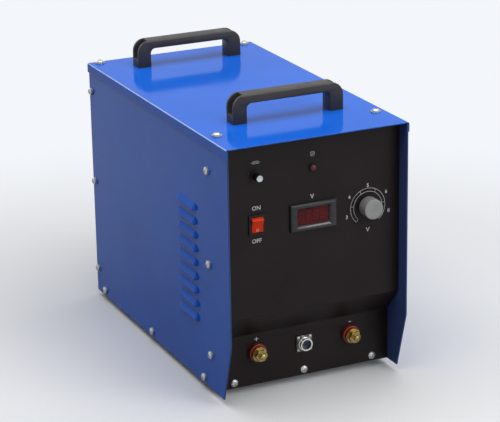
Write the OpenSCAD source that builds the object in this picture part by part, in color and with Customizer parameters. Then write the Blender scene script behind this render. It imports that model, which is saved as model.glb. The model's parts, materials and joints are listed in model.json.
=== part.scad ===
// Stud welder: a folded sheet case on rubber feet, with a stepped front panel, louvred sides,
// two bow handles, a rocker switch, a panel meter, a voltage knob, a fuse, a lamp,
// two clamp terminals and a control socket, and the capacitors and power parts inside.
// Millimetres. +Z is up, the front faces -Y, and the origin is on the floor under the middle.

/* [Case] */
// Width over the top cover's flanges
case_w = 300; // [285:1:340]
// Depth from the side panels' front edges to the back of the top cover
case_d = 550; // [535:1:620]
// Height from the base sheet to the top cover's face
case_h = 400; // [390:1:440]
// Thickness of the folded sheets
sheet_t = 1.5; // [1.2:0.1:1.8]
// Thickness of the side panels
side_t = 2; // [1.6:0.1:2.4]
// Inside radius of the sheet bends
bend_r = 1.5; // [1:0.1:2]
// Height of the top cover's flanges
cover_flange_h = 15; // [12:0.5:20]
// Play between the top cover and the panels inside it
cover_play = 0.2; // [0.1:0.05:0.3]
// Height where the side panels' front edges turn back
chamfer_h = 93; // [70:1:100]
// Setback of the side panels' lower front corners
chamfer_d = 28; // [15:1:40]
// Height of the base pan's flanges
pan_flange_h = 24; // [20:0.5:28]
// Width of the rear panel's flanges
rear_flange_d = 20; // [17:0.5:26]
// Gap between flanges that end one above the other
flange_gap = 1; // [0.5:0.1:2]

/* [Front panel] */
// Setback of the upper face from the case's front edges
upper_set = 23; // [22:0.5:28]
// Setback of the lower face from the case's front edges
lower_set = 57; // [50:1:60]
// Height of the upper face's lower edge
step_top_h = 126; // [120:1:135]
// Height of the lower face's upper edge
step_low_h = 85; // [80:1:95]
// Setback of the rear edge of the panel's flanges
cheek_d = 90; // [84:1:100]
// Gap between the lower face and the level of the base
panel_lift = 1; // [0.5:0.1:3]
// Share of the height over the control row at which the fuse and the lamp sit
indicator_share = 0.58; // [0.5:0.01:0.65]
// Height of the switch, the meter and the knob
control_h = 271; // [255:1:290]
// Height of the terminals and the socket
outlet_h = 54; // [50:0.5:60]
// Share of the case's width from the middle to the switch, the fuse and the knob
control_share = 0.308; // [0.27:0.001:0.34]
// Share of the case's width from the middle to a terminal
terminal_share = 0.266; // [0.24:0.001:0.31]
// Play of the parts that pass through panel cut-outs
cutout_play = 0.3; // [0.2:0.05:0.5]

/* [Louvres] */
// Number of louvres on each side
louvre_n = 9; // [3:1:10]
// Length of a louvre
louvre_l = 68; // [50:1:100]
// Height of a louvre
louvre_h = 11; // [8:0.5:12]
// How far a louvre stands out
louvre_out = 5.4; // [4.5:0.1:5.8]
// Thickness of the drawn metal
louvre_t = 1.6; // [1.2:0.1:1.8]
// Radius of a louvre's curve
louvre_r = 26; // [20:1:60]
// Step from louvre to louvre
louvre_pitch = 22.1; // [18:0.1:24]
// Height of the lowest louvre's lip
louvre_first_h = 97.5; // [80:0.5:110]
// Distance of the louvres' middle from the front edges
louvre_set = 149; // [135:1:170]

/* [Case screws] */
// Radius of a case screw
screw_r = 2.9; // [2.4:0.1:3]
// Radius of its head
screw_head_r = 6; // [5:0.1:6.5]
// Height of its head
screw_head_h = 4.2; // [3:0.1:5]
// Height of the head's straight rim
screw_rim_h = 1.4; // [1:0.1:2]
// Length of its shank
screw_l = 12; // [11:0.5:16]
// Width of the cross recess
recess_w = 1.3; // [1:0.1:1.6]
// Length of the cross recess
recess_l = 6.4; // [5:0.1:7]
// Depth of the cross recess
recess_d = 2; // [1:0.1:2.5]
// Play of a screw in its hole
screw_play = 0.3; // [0.2:0.05:0.5]
// Play of a screw in its nut
thread_play = 0.1; // [0.05:0.01:0.2]
// Width across flats of a case nut
nut_af = 10; // [8:0.5:11]
// Height of a case nut
nut_h = 5; // [4:0.1:6]
// Radius of the washers on the top cover
washer_r = 8; // [7:0.1:8.4]
// Radius of the washers on the sides
side_washer_r = 6.2; // [6:0.1:7]
// Thickness of the washers
washer_t = 1.6; // [1:0.1:2]
// Distance of the front screw column from the front edges
front_col_set = 71; // [70:0.5:78]
// Height of the front column's lowest screw
front_col_low = 57; // [45:1:70]
// Height of the front column's highest screw
front_col_high = 349; // [330:1:360]
// Distance of the rear screw column from the rear panel's face
rear_col_set = 8.5; // [8:0.1:11]
// Height of the rear column's lowest screw
rear_col_low = 42; // [38:1:60]
// Height of the rear column's highest screw
rear_col_high = 354; // [330:1:360]
// Height of the bottom row of side screws
row_h = 11; // [9:0.5:14]
// Distance of the bottom row's first screw from the front edges
row_first_set = 98; // [94:1:115]
// Distance of the bottom row's last screw from the rear panel's face
row_last_set = 38; // [32:1:60]
// Distance of the top screws from the case's sides
top_screw_inset = 18.5; // [14:0.5:20]
// Distance of the outer screws of the front and rear panels from the side panels
panel_screw_inset = 28.3; // [26:0.1:46]
// Height of the front and rear panel screws
panel_screw_h = 10; // [9:0.5:13]

/* [Handles] */
// Length of a handle
handle_l = 183; // [140:1:200]
// Middle of the handles right of the case's middle
handle_x = 3.7; // [0:0.1:6]
// Height of a handle
handle_h = 44; // [40:0.5:55]
// Width of a handle
handle_w = 25; // [20:0.5:30]
// Thickness of a handle's legs
leg_w = 22; // [20.5:0.5:26]
// Clear height under the grip
grip_clear_h = 30.5; // [25:0.5:32]
// Radius of the outer corners
handle_round = 20; // [12:0.5:22]
// Radius of the inner corners
grip_round = 8; // [4:0.5:12]
// Chamfer along the top edges
handle_chamfer = 2; // [1:0.1:3]
// Width of the screw pockets
pocket_w = 16.5; // [13:0.5:18]
// Depth of the screw pockets
pocket_d = 17.6; // [17:0.1:18.5]
// Height of the pockets' floor
pocket_floor_h = 13; // [8:0.5:18]
// Distance of the front handle's middle from the front edges
front_handle_set = 120; // [110:1:160]
// Distance of the rear handle's middle from the top cover's rear face
rear_handle_set = 61; // [45:1:110]

/* [Feet] */
// Height of a foot
foot_h = 10; // [8:0.5:14]
// Radius of a foot at the base
foot_r = 15; // [12:0.5:18]
// Radius of a foot at the floor
foot_tip_r = 13; // [11:0.5:14]
// Radius of the recess for the screw head
foot_recess_r = 6.5; // [6:0.1:8]
// Depth of that recess
foot_recess_d = 5.5; // [5:0.1:6.5]
// Distance of the feet from the side panels
foot_inset = 33; // [26:1:45]
// Distance of the front feet from the front edges
foot_front_set = 112; // [100:1:130]
// Distance of the rear feet from the rear panel's face
foot_rear_set = 55; // [40:1:65]
// Length of a foot screw's shank
foot_screw_l = 13; // [12:0.5:16]

/* [Rocker switch] */
// Width of the rocker
rocker_w = 18.4; // [16:0.2:20]
// Radius of the rocker's ends about its pivot
rocker_r = 12; // [11:0.1:13]
// Height of the rocker's waist over its pivot
rocker_mid = 5; // [4.5:0.1:5.5]
// Depth of the rocker under its pivot
rocker_under = 5; // [4:0.1:6]
// Tilt of the rocker to either side
rocker_tilt = 12; // [8:0.5:14]
// Gap around the rocker
rocker_gap = 0.3; // [0.25:0.05:0.5]
// Depth of the pivot behind the panel's face
pivot_depth = 1.5; // [1:0.1:2]
// Radius of the pivot pins
pivot_r = 1.5; // [1.2:0.1:1.6]
// Length of a pivot pin in its hole
pivot_l = 1.1; // [0.8:0.1:1.4]
// Play of the pivot pins
pivot_play = 0.03; // [0.02:0.01:0.08]
// Wall of the switch housing
switch_wall = 1.6; // [1.5:0.1:2]
// Width of the bezel's lip beyond the housing
bezel_lip = 1.8; // [1.2:0.1:2.5]
// Thickness of the bezel
bezel_t = 2.4; // [2:0.1:3]
// Depth of the housing behind the panel
switch_d = 22; // [18:0.5:28]
// Thickness of the housing's rear wall
switch_floor_t = 4; // [3:0.5:6]
// Width of a contact tab
tab_w = 6.3; // [4.8:0.1:6.3]
// Thickness of a contact tab
tab_t = 0.8; // [0.5:0.1:1]
// Length of a contact tab
tab_l = 9; // [6:0.5:12]
// Distance of the tabs from the housing's middle, sideways
tab_x = 5.5; // [4.5:0.1:6]
// Distance of the tabs from the housing's middle, up and down
tab_y = 7; // [4:0.5:9]

/* [Meter] */
// Width of the meter's bezel
meter_w = 76; // [70:1:84]
// Height of the meter's bezel
meter_h = 42; // [38:1:48]
// Thickness of the bezel
meter_t = 6; // [5:0.5:8]
// Bevel around the bezel's front
meter_bevel = 2; // [1:0.1:3]
// Width of the bezel's lip beyond the body
meter_lip = 2; // [1.5:0.1:3]
// Depth of the body behind the panel
meter_d = 48; // [40:1:60]
// Wall of the body
meter_wall = 2; // [1.5:0.1:3]
// Width of the window
window_w = 51; // [44:1:54]
// Height of the window
window_h = 25; // [22:0.5:27]
// Widening of the window's slanted frame
window_slope = 3; // [2:0.1:4]
// Thickness of the window
window_t = 2; // [1.5:0.1:3]
// Overlap of the window behind its frame
window_ledge = 2; // [1.5:0.1:2.5]
// Number of digits
digit_n = 4; // [3:1:5]
// Width of a digit block
digit_w = 10; // [6:0.5:10]
// Height of a digit block
digit_h = 18; // [14:0.5:20]
// Depth of a digit block
digit_d = 7; // [5:0.5:10]
// Step from digit to digit
digit_pitch = 11.5; // [10.5:0.1:12]
// Thickness of the display's board
display_board_t = 1.6; // [1:0.1:2]

/* [Lamp] */
// Radius of the lamp's bezel
lamp_r = 6; // [5.8:0.1:8]
// Height of the bezel
lamp_t = 3; // [2:0.1:4]
// Chamfer of the bezel
lamp_chamfer = 1; // [0.5:0.1:1.4]
// Radius of the lamp's barrel
lamp_barrel_r = 5; // [4.8:0.1:5.5]
// Length of the barrel behind the panel's face
lamp_barrel_l = 14; // [10:0.5:20]
// Radius of the lens
lens_r = 4.2; // [3.5:0.1:4.4]
// Height of the lens's dome
lens_dome_h = 3.4; // [2:0.1:3.5]
// Depth of the lens's seat behind the panel's face
lens_seat = 2; // [1:0.5:4]
// Width across flats of the lamp's nut
lamp_nut_af = 13; // [12.5:0.5:15]
// Height of the lamp's nut
lamp_nut_h = 3; // [2:0.5:4]

/* [Fuse holder] */
// Radius of the holder's flange
fuse_flange_r = 9.2; // [8:0.1:11]
// Thickness of the flange
fuse_flange_t = 2; // [1.5:0.1:3]
// Radius of the holder's barrel
fuse_barrel_r = 6.5; // [6.2:0.1:7]
// Length of the barrel behind the panel's face
fuse_barrel_l = 38; // [34:1:45]
// Radius of the barrel's bore
fuse_bore_r = 5; // [4.6:0.1:5.4]
// Radius of the cap's grip
fuse_cap_r = 6.3; // [5.8:0.1:7]
// Distance of the cap's face from the panel
fuse_cap_l = 13; // [10:0.5:16]
// Gap between the cap and the flange
fuse_cap_gap = 0.3; // [0.2:0.1:0.5]
// Depth of the cap's stem behind the panel's face
fuse_stem_l = 9; // [6:0.5:12]
// Play of the stem in the barrel and of the fuse in the stem
fuse_play = 0.05; // [0.03:0.01:0.1]
// Number of grip grooves on the cap
fuse_groove_n = 16; // [8:1:18]
// Radius of a grip groove
fuse_groove_r = 0.5; // [0.3:0.05:0.6]
// Radius of the metal end in the cap
fuse_end_r = 4.8; // [4:0.1:5]
// Thickness of the metal end
fuse_end_t = 2.2; // [1.6:0.1:3]
// How far the metal end stands proud of the cap
fuse_end_proud = 1; // [0.4:0.1:1.4]
// Width of its slot
fuse_slot_w = 1.2; // [0.8:0.1:1.6]
// Depth of its slot
fuse_slot_d = 1; // [0.6:0.1:1.3]
// Radius of the fuse
fuse_r = 2.6; // [2.4:0.1:3.2]
// Length of the fuse
fuse_l = 20; // [18:1:25]
// Distance of the fuse's front end from the panel's face
fuse_front = 7; // [5:0.5:8]
// Length of the fuse's end caps
fuse_ferrule_l = 5.5; // [4:0.5:6]
// Step from the fuse's end caps down to its glass
fuse_ferrule_t = 0.2; // [0.1:0.05:0.3]
// Width across flats of the holder's nut
fuse_nut_af = 17; // [15.5:0.5:19]
// Height of the holder's nut
fuse_nut_h = 4; // [3:0.5:6]

/* [Voltage knob] */
// Radius of the knob
knob_r = 15.5; // [14:0.5:20]
// Distance of the knob's face from the panel
knob_front = 20.5; // [19.5:0.1:21.5]
// Gap between the knob and the panel
knob_lift = 1.5; // [1:0.1:3]
// Rounding of the knob's rim
knob_rim = 1.2; // [0.6:0.1:2]
// Radius of the hollow under the knob
knob_hollow_r = 11; // [9:0.5:12]
// Distance of that hollow's ceiling from the panel
knob_hollow_l = 8; // [7:0.5:9]
// Number of grip grooves
knob_groove_n = 40; // [20:1:44]
// Radius of a grip groove
knob_groove_r = 0.6; // [0.4:0.05:0.7]
// Height of the grooves' end under the knob's face
knob_groove_end = 2.4; // [2:0.1:4]
// Thickness of the knob over the shaft's end
knob_top_t = 3; // [2:0.1:4]
// Radius of the shaft
shaft_r = 3; // [2.5:0.1:3.2]
// Play of the shaft in its bushing
shaft_play = 0.03; // [0.02:0.01:0.08]
// Depth of the shaft behind the panel's face
shaft_rear = 12; // [10:0.5:13]
// Radius of the potentiometer
pot_r = 12; // [9:0.5:15]
// Length of the potentiometer behind the panel
pot_l = 16; // [15:0.5:20]
// Radius of its bushing
bushing_r = 4.5; // [4.2:0.1:5]
// Length of its bushing in front of the panel
bushing_l = 6; // [5:0.5:6.5]
// Width across flats of its nut
pot_nut_af = 12; // [11.5:0.5:14]
// Height of its nut
pot_nut_h = 2.5; // [2:0.1:3]
// Radius of the set screw
set_screw_r = 1.4; // [1:0.1:1.6]
// Length of the set screw
set_screw_l = 6; // [4:0.5:8]
// Distance of the set screw from the panel
set_screw_front = 12; // [11:0.1:13]
// Width across flats of the set screw's socket
set_socket_af = 1.4; // [1:0.1:1.6]
// Depth of the set screw's socket
set_socket_d = 1.5; // [1:0.1:2]

/* [Clamp terminals] */
// Radius of the insulating bushes
bush_r = 14.5; // [13:0.5:16]
// Thickness of the front bush
bush_front_t = 7; // [5:0.5:9]
// Thickness of the rear bush
bush_rear_t = 6; // [4:0.5:8]
// Rounding of the bushes' rims
bush_rim = 1.5; // [0.5:0.1:2]
// Radius of the front bush's neck in the panel
bush_neck_r = 9; // [7:0.5:10]
// Radius of the threaded stud
stud_r = 5; // [4.6:0.1:5.4]
// Play of the stud in the bushes, the washer and the nut
stud_play = 0.05; // [0.03:0.01:0.09]
// Radius of the stud's collar
collar_r = 10.5; // [9:0.5:12]
// Thickness of the collar
collar_t = 2.5; // [2:0.1:4]
// Length of the thread in front of the collar
stud_thread_l = 10.5; // [10:0.5:14]
// Radius of the plain end in front of the thread
stud_end_r = 4.5; // [4:0.1:4.5]
// Length of the plain end's straight part
stud_end_l = 5; // [4:0.5:8]
// Height of the dome on the plain end
stud_dome_h = 1.5; // [1:0.1:2.5]
// Length of the stud behind the panel's face
stud_rear_l = 27; // [25:0.5:32]
// Radius of the clamp washer
clamp_washer_r = 11.5; // [10:0.5:13]
// Thickness of the clamp washer
clamp_washer_t = 2; // [1.5:0.1:2.5]
// Width across flats of the clamp nut
clamp_nut_af = 17; // [15:0.5:18]
// Height of the clamp nut
clamp_nut_h = 8; // [6:0.5:8]
// Width across flats of the nuts behind the panel
lock_nut_af = 16; // [15:0.5:17]
// Height of the nuts behind the panel
lock_nut_h = 5; // [4:0.1:5]

/* [Control socket] */
// Side of the square flange
socket_flange = 26; // [25:0.5:30]
// Thickness of the flange
socket_flange_t = 2.5; // [2:0.1:4]
// Radius of the shoulder under the barrel
shoulder_r = 10.8; // [10.2:0.1:11]
// Length of the shoulder
shoulder_l = 2.5; // [2.2:0.1:4]
// Radius of the barrel
barrel_r = 10; // [9:0.1:10]
// Length of the barrel
barrel_l = 6; // [5:0.5:10]
// Radius of the barrel's bore
socket_bore_r = 7.8; // [7:0.1:8]
// Radius of the socket's body behind the panel
socket_body_r = 9; // [8.8:0.1:9.4]
// Depth of the body behind the panel's face
socket_body_l = 14; // [10:0.5:18]
// Depth of the insert's face behind the barrel's rim
socket_recess = 7; // [6:0.1:8]
// Play of the insert in the bore
insert_play = 0.05; // [0.02:0.01:0.1]
// Number of contact pins
pin_n = 4; // [3:1:6]
// Radius of a pin
pin_r = 0.9; // [0.6:0.1:1]
// Length of a pin in front of the insert
pin_out = 2; // [1:0.1:2.5]
// Length of a pin behind the insert
pin_tail = 4; // [2:0.5:6]
// Radius of the ring of pins
pin_ring_r = 4.2; // [3.5:0.1:4.6]
// Distance of the flange screws from the socket's middle
socket_screw_x = 10; // [9.8:0.1:10.4]
// Radius of a flange screw
small_screw_r = 1.4; // [1.2:0.1:1.5]
// Radius of its head
small_head_r = 2.6; // [2.2:0.1:2.7]
// Height of its head
small_head_h = 1.8; // [1.2:0.1:2]
// Height of its head's straight rim
small_rim_h = 0.7; // [0.4:0.1:0.9]
// Length of its shank
small_screw_l = 8; // [7.5:0.5:10]
// Width across flats of its nut
small_nut_af = 5; // [4.5:0.1:5.5]
// Height of its nut
small_nut_h = 2.2; // [2:0.1:2.5]

/* [Rear fittings] */
// Distance of the rear fittings from the middle
rear_fit_x = 80; // [60:1:100]
// Height of the rear fittings
rear_fit_h = 62; // [55:1:80]
// Radius of the cable gland's thread
gland_r = 10; // [9:0.1:11]
// Radius of the gland's bore
gland_bore_r = 7; // [6.6:0.1:7.4]
// Width across flats of the gland's hexagons
gland_af = 25; // [24:0.5:28]
// Length of the gland body's hexagon
gland_hex_l = 6; // [4:0.5:8]
// Length of the thread under the gland's cap
gland_thread_l = 8; // [6:0.5:10]
// Length of the thread inside the case
gland_inner_l = 11; // [10:0.5:14]
// Length of the gland's cap
gland_cap_l = 18; // [16:0.5:22]
// Gap between the cap and the body's hexagon
gland_gap = 0.3; // [0.2:0.1:0.5]
// Thickness of the cap's front wall
gland_cap_wall = 3; // [2:0.5:4]
// Radius of the cap's mouth
gland_mouth_r = 6; // [5.5:0.1:6.4]
// Radius of the seal's bore
seal_bore_r = 5; // [4:0.1:5.4]
// Length of the seal
seal_l = 12; // [9:0.5:13]
// Play of the seal in the body
seal_play = 0.05; // [0.02:0.01:0.1]
// Width across flats of the gland's nut
gland_nut_af = 26; // [24.5:0.5:28]
// Height of the gland's nut
gland_nut_h = 5; // [4:0.5:6]
// Radius of the earth stud inside its nuts
earth_root_r = 4; // [3.5:0.1:4.5]
// Radius of the earth stud's free end
earth_r = 3; // [2.5:0.1:3.2]
// Length of the earth stud's free end
earth_l = 10; // [8:0.5:12]
// Length of the earth stud inside the case
earth_inner_l = 10; // [9:0.5:14]
// Width across flats of the earth nuts
earth_nut_af = 13; // [11.5:0.5:14]
// Height of the earth nuts
earth_nut_h = 5; // [4:0.5:6]

/* [Capacitors] */
// Number of capacitors
cap_n = 4; // [2:1:4]
// Gap between neighbouring capacitors
cap_gap = 4; // [3:0.1:6]
// Height of a capacitor
cap_h = 146; // [120:1:160]
// Width of the rolled rim
cap_rim_w = 2.5; // [2:0.1:4]
// Height of the rolled rim over the deck
cap_rim_h = 2; // [1:0.1:3]
// Share of the case's depth from capacitor to capacitor
cap_share = 0.1455; // [0.14:0.0005:0.15]
// Share of the case's depth in front of the first capacitor's middle
cap_first_share = 0.327; // [0.31:0.001:0.34]
// Distance of the terminals from a capacitor's middle
cap_pole_x = 16; // [13:0.5:20]
// Radius of a capacitor's pole
cap_pole_r = 7; // [6:0.5:8]
// Height of a pole
cap_pole_h = 7; // [5:0.5:10]
// Radius of a pole's stud
cap_stud_r = 2.5; // [2:0.1:3]
// Length of a pole's stud
cap_stud_l = 10; // [9:0.5:14]
// Thickness of the clamp rings
clamp_t = 0.7; // [0.5:0.1:0.7]
// Height of the clamp rings
clamp_h = 25; // [15:1:40]
// Length of a clamp's ear
ear_l = 10; // [8:0.5:12]
// Width of a clamp's ear
ear_w = 16; // [12:0.5:20]
// Thickness of a clamp's ear
ear_t = 2; // [1:0.1:3]
// Width of the copper bars
bar_w = 20; // [16:0.5:24]
// Thickness of the copper bars and straps
bar_t = 3; // [2:0.1:4]
// Length of the bars past the last pole
bar_tail = 12; // [10:0.5:20]
// Width across flats of the pole nuts
pole_nut_af = 8; // [7:0.5:9]
// Height of the pole nuts
pole_nut_h = 4; // [3:0.1:5]

/* [Transformer] */
// Share of the case's width in the core's width
core_share = 0.4; // [0.37:0.01:0.41]
// Height of the core
core_h = 100; // [90:1:120]
// Thickness of the stack
core_d = 60; // [40:1:70]
// Width of the middle leg
core_leg_w = 40; // [30:1:46]
// Width of the yokes and the outer legs
core_yoke_w = 20; // [15:0.5:22]
// Gap between the coil and the core
coil_gap = 0.5; // [0.3:0.1:1]
// How far the coil stands out of the stack
coil_out = 18; // [14:0.5:20]
// Share of the case's width from the middle to the power parts
power_share = 0.24; // [0.23:0.001:0.245]
// Share of the case's depth in front of the transformer's middle
transformer_share = 0.727; // [0.71:0.001:0.76]

/* [Heat sink] */
// Width of the heat sink
sink_w = 96; // [90:1:110]
// Length of the heat sink
sink_d = 140; // [130:1:160]
// Height of the fins
fin_h = 38; // [20:1:50]
// Thickness of the plate over the fins
sink_t = 10; // [6:0.5:14]
// Thickness of a fin
fin_t = 3; // [2:0.1:4]
// Number of fins
fin_n = 9; // [5:1:12]
// Share of the case's depth in front of the heat sink's middle
sink_share = 0.39; // [0.37:0.001:0.41]
// Width of the thyristor module
thyristor_w = 34; // [30:0.5:40]
// Length of the thyristor module
thyristor_d = 92; // [80:1:96]
// Height of the thyristor module
thyristor_h = 30; // [24:0.5:34]
// Thickness of the module's mounting base
thyristor_base_t = 6; // [4:0.5:8]
// How far the module's body is set back from the ends of its base
thyristor_step = 8; // [5:0.5:10]
// Side of a module's contact
contact_w = 16; // [12:0.5:20]
// Height of a module's contact
contact_h = 3; // [2:0.1:4]
// Distance of the contacts from the module's middle
contact_y = 26; // [22:0.5:28]
// Side of the rectifier block
rectifier_w = 28; // [24:0.5:30]
// Height of the rectifier block
rectifier_h = 10; // [8:0.5:14]
// Distance of the rectifier from the heat sink's middle, sideways
rectifier_x = 32; // [31:0.5:33]

/* [Control board] */
// Width of the control board
board_w = 170; // [150:1:190]
// Height of the control board
board_h = 120; // [110:1:140]
// Thickness of the control board
board_t = 1.6; // [1:0.1:2]
// Height of the control board's middle
board_mid_h = 265; // [250:1:280]
// Length of the board's posts
post_l = 12; // [8:0.5:16]
// Radius of the posts
post_r = 3; // [2.5:0.1:4]
// Distance of the posts from the board's edges
post_inset = 6; // [5:0.5:10]
// Width of a relay
relay_w = 28; // [24:0.5:30]
// Height of a relay
relay_h = 22; // [16:0.5:26]
// Depth of a relay
relay_d = 25; // [20:0.5:30]
// Radius of a board capacitor
board_cap_r = 9; // [7:0.5:11]
// Length of a board capacitor
board_cap_l = 35; // [25:1:40]
// Width of a terminal strip
strip_w = 60; // [40:1:70]
// Height of a terminal strip
strip_h = 12; // [10:0.5:16]
// Depth of a terminal strip
strip_d = 14; // [10:0.5:18]
// Step between the rows of board parts
board_row = 32; // [30:0.5:34]
// Step between the board parts in a row
board_step = 40; // [36:0.5:46]

/* [Hidden] */
$fn = 64;
// Overrun of the cuts, and ease of the bends' arcs at their ends
over = 1;
bend_ease = 0.02;
// Levels of the case
base_z = foot_h;
pan_z = base_z + sheet_t;
top_z = base_z + case_h;
roof_z = top_z - sheet_t;
// How far the gland stands out behind the rear panel's face
gland_out = gland_hex_l + gland_gap + gland_cap_l;
rear_out = gland_out - sheet_t - cover_play;
// Places along the case, front to back
front_y = -(case_d + rear_out) / 2;
rear_y = front_y + case_d;
back_y = rear_y - sheet_t - cover_play;
upper_y = front_y + upper_set;
lower_y = front_y + lower_set;
front_col_y = front_y + front_col_set;
rear_col_y = back_y - rear_col_set;
pan_front_y = lower_y + sheet_t;
pan_rear_y = back_y - sheet_t;
front_handle_y = front_y + front_handle_set;
rear_handle_y = rear_y - rear_handle_set;
// Faces of the side panels
side_x = case_w / 2 - sheet_t - cover_play;
inner_x = side_x - side_t;
top_screw_x = case_w / 2 - top_screw_inset;
panel_screw_x = inner_x - panel_screw_inset;
// Places of the controls and the outlets
indicator_h = control_h + indicator_share * (case_h - control_h);
control_x = control_share * case_w;
terminal_x = terminal_share * case_w;
foot_x = side_x - foot_inset;
handle_screw_x = handle_l / 2 - leg_w / 2;
// Sizes of the switch
switch_open_w = rocker_w + 2 * rocker_gap;
switch_open_h = 2 * (rocker_r + rocker_gap);
switch_w = switch_open_w + 2 * switch_wall;
switch_h = switch_open_h + 2 * switch_wall;
bezel_w = switch_w + 2 * bezel_lip;
bezel_h = switch_h + 2 * bezel_lip;
// Sizes of the meter's body
meter_body_w = meter_w - 2 * meter_lip;
meter_body_h = meter_h - 2 * meter_lip;
// Levels of a terminal, counted forward from the lower panel face
collar_front = bush_front_t + collar_t;
thread_front = collar_front + stud_thread_l;
lock_rear = -sheet_t - bush_rear_t - lock_nut_h;
strap_rear = lock_rear - bar_t;
// Levels of the socket's rim and insert
socket_front = socket_flange_t + shoulder_l + barrel_l;
insert_front = socket_front - socket_recess;
// Levels of the power parts
cap_deck_z = pan_z + cap_h;
bar_z = cap_deck_z + cap_pole_h;
sink_z = pan_z + fin_h + sink_t;
contact_z = sink_z + thyristor_h + contact_h;
// The bar over the right terminal sets the capacitors' row
cap_x = terminal_x - cap_pole_x;
cap_pitch = cap_share * case_d;
cap_r = (cap_pitch - cap_gap) / 2;
cap_first_y = front_y + cap_first_share * case_d;
power_x = power_share * case_w;
core_w = core_share * case_w;
sink_y = front_y + sink_share * case_d;
transformer_y = front_y + transformer_share * case_d;
strap_y = lower_y - strap_rear - bar_t;
board_y = back_y - sheet_t - post_l - board_t;
board_z = base_z + board_mid_h;
// Middle of the louvres' curve, which runs from the panel at the top to the lip
louvre_chord = norm([louvre_out, louvre_h]);
louvre_sink = sqrt(louvre_r * louvre_r - louvre_chord * louvre_chord / 4) / louvre_chord;
louvre_mid = [louvre_out / 2 - louvre_sink * louvre_h, louvre_h / 2 - louvre_sink * louvre_out];

// Places of the screws: distance behind the front edges and height over the base
side_marks = [
  for (h = [front_col_low, (front_col_low + front_col_high) / 2, front_col_high])
    [front_col_y, h],
  for (h = [rear_col_low, (rear_col_low + rear_col_high) / 2, rear_col_high])
    [rear_col_y, h],
  for (y = [front_y + row_first_set, (front_y + row_first_set + back_y - row_last_set) / 2,
            back_y - row_last_set])
    [y, row_h]
];
pan_marks = [for (m = side_marks) if (m[1] < pan_flange_h) m];
front_marks = [for (m = side_marks) if (m[1] > pan_flange_h && m[0] == front_col_y) m];
rear_marks = [for (m = side_marks) if (m[1] > pan_flange_h && m[0] == rear_col_y) m];
panel_marks = [-panel_screw_x, 0, panel_screw_x];
foot_marks = [for (x = [-foot_x, foot_x])
  for (y = [front_y + foot_front_set, back_y - foot_rear_set]) [x, y]];
cap_marks = [for (i = [0 : cap_n - 1]) cap_first_y + i * cap_pitch];
board_marks = [for (x = [-1, 1]) for (z = [-1, 1])
  [x * (board_w / 2 - post_inset), z * (board_h / 2 - post_inset)]];

// Directions and bends of a folded strip
function heading(a, b) = atan2(b[1] - a[1], b[0] - a[0]);
function fold_angle(p, i) = (i == 0 || i == len(p) - 1) ? 0 :
  let (d = heading(p[i], p[i + 1]) - heading(p[i - 1], p[i]))
    d > 180 ? d - 360 : d < -180 ? d + 360 : d;
// Corner of the strip beside a point of its middle line
function strip_corner(p, i, s) =
  let (half = fold_angle(p, i) / 2, a = heading(p[max(i - 1, 0)], p[max(i, 1)]) + half)
    p[i] + s * sheet_t / 2 / cos(half) * [-sin(a), cos(a)];

// Wedge of a bend less a circle, or part of it, seen from the middle of the bend
module fold_wedge(p, i, r) {
  turn = fold_angle(p, i);
  side = sign(turn);
  mid_r = bend_r + sheet_t / 2;
  reach = 2 * (bend_r + sheet_t);
  translate(p[i])
    rotate(heading(p[i - 1], p[i]))
      translate([-mid_r * tan(abs(turn) / 2), side * mid_r])
        difference() {
          intersection() {
            polygon([
              [0, 0],
              [0, -side * reach],
              reach * [sin(abs(turn) / 2), -side * cos(turn / 2)],
              reach * [sin(abs(turn)), -side * cos(turn)]
            ]);
            circle(r < mid_r ? mid_r : 2 * reach);
          }
          circle(r);
        }
}

// Section of a sheet folded along the points of its middle line
module folded(p) {
  last = len(p) - 1;
  difference() {
    polygon([
      for (i = [0 : last]) strip_corner(p, i, 1),
      for (i = [last : -1 : 0]) strip_corner(p, i, -1)
    ]);
    for (i = [1 : last - 1])
      fold_wedge(p, i, bend_r + sheet_t + bend_ease);
  }
  for (i = [1 : last - 1])
    fold_wedge(p, i, bend_r + bend_ease);
}

// A section drawn in Y and Z, carried along X
module along_x(x, w) {
  translate([x, 0, 0]) rotate([90, 0, 90]) linear_extrude(w) children();
}

// A section drawn in X and Z, carried along Y
module along_y(y, d) {
  translate([0, y + d, 0]) rotate([90, 0, 0]) linear_extrude(d) children();
}

// Frames whose Z leaves a face of the case
module on_upper(x, h) {
  translate([x, upper_y, base_z + h]) rotate([90, 0, 0]) children();
}

module on_lower(x, h) {
  translate([x, lower_y, base_z + h]) rotate([90, 0, 0]) children();
}

module on_rear(x, h) {
  translate([x, back_y, base_z + h]) rotate([-90, 0, 0]) children();
}

module on_side(s, y, h) {
  translate([s * side_x, y, base_z + h]) rotate([0, s * 90, 0]) children();
}

module on_top(x, y) {
  translate([x, y, top_z]) children();
}

// A block centred on Z
module slab(w, h, z0, z1) {
  translate([-w / 2, -h / 2, z0]) cube([w, h, z1 - z0]);
}

module rod(r, z0, z1) {
  translate([0, 0, z0]) cylinder(r = r, h = z1 - z0);
}

module hexagon(af, z0, z1) {
  translate([0, 0, z0]) cylinder(r = af / 2 / cos(30), h = z1 - z0, $fn = 6);
}

// A nut standing on Z, with its bore
module hex_nut(af, bore_r, z0, z1) {
  difference() {
    hexagon(af, z0, z1);
    rod(bore_r, z0 - over, z1 + over);
  }
}

// A nut with turned corners
module turned_nut(af, bore_r, z0, z1) {
  corner = af / 2 / cos(30);
  drop = (corner - af / 2) * tan(30);
  difference() {
    intersection() {
      hexagon(af, z0, z1);
      rotate_extrude()
        polygon([
          [0, z0], [af / 2, z0], [corner, z0 + drop],
          [corner, z1 - drop], [af / 2, z1], [0, z1]
        ]);
    }
    rod(bore_r, z0 - over, z1 + over);
  }
}

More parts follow.
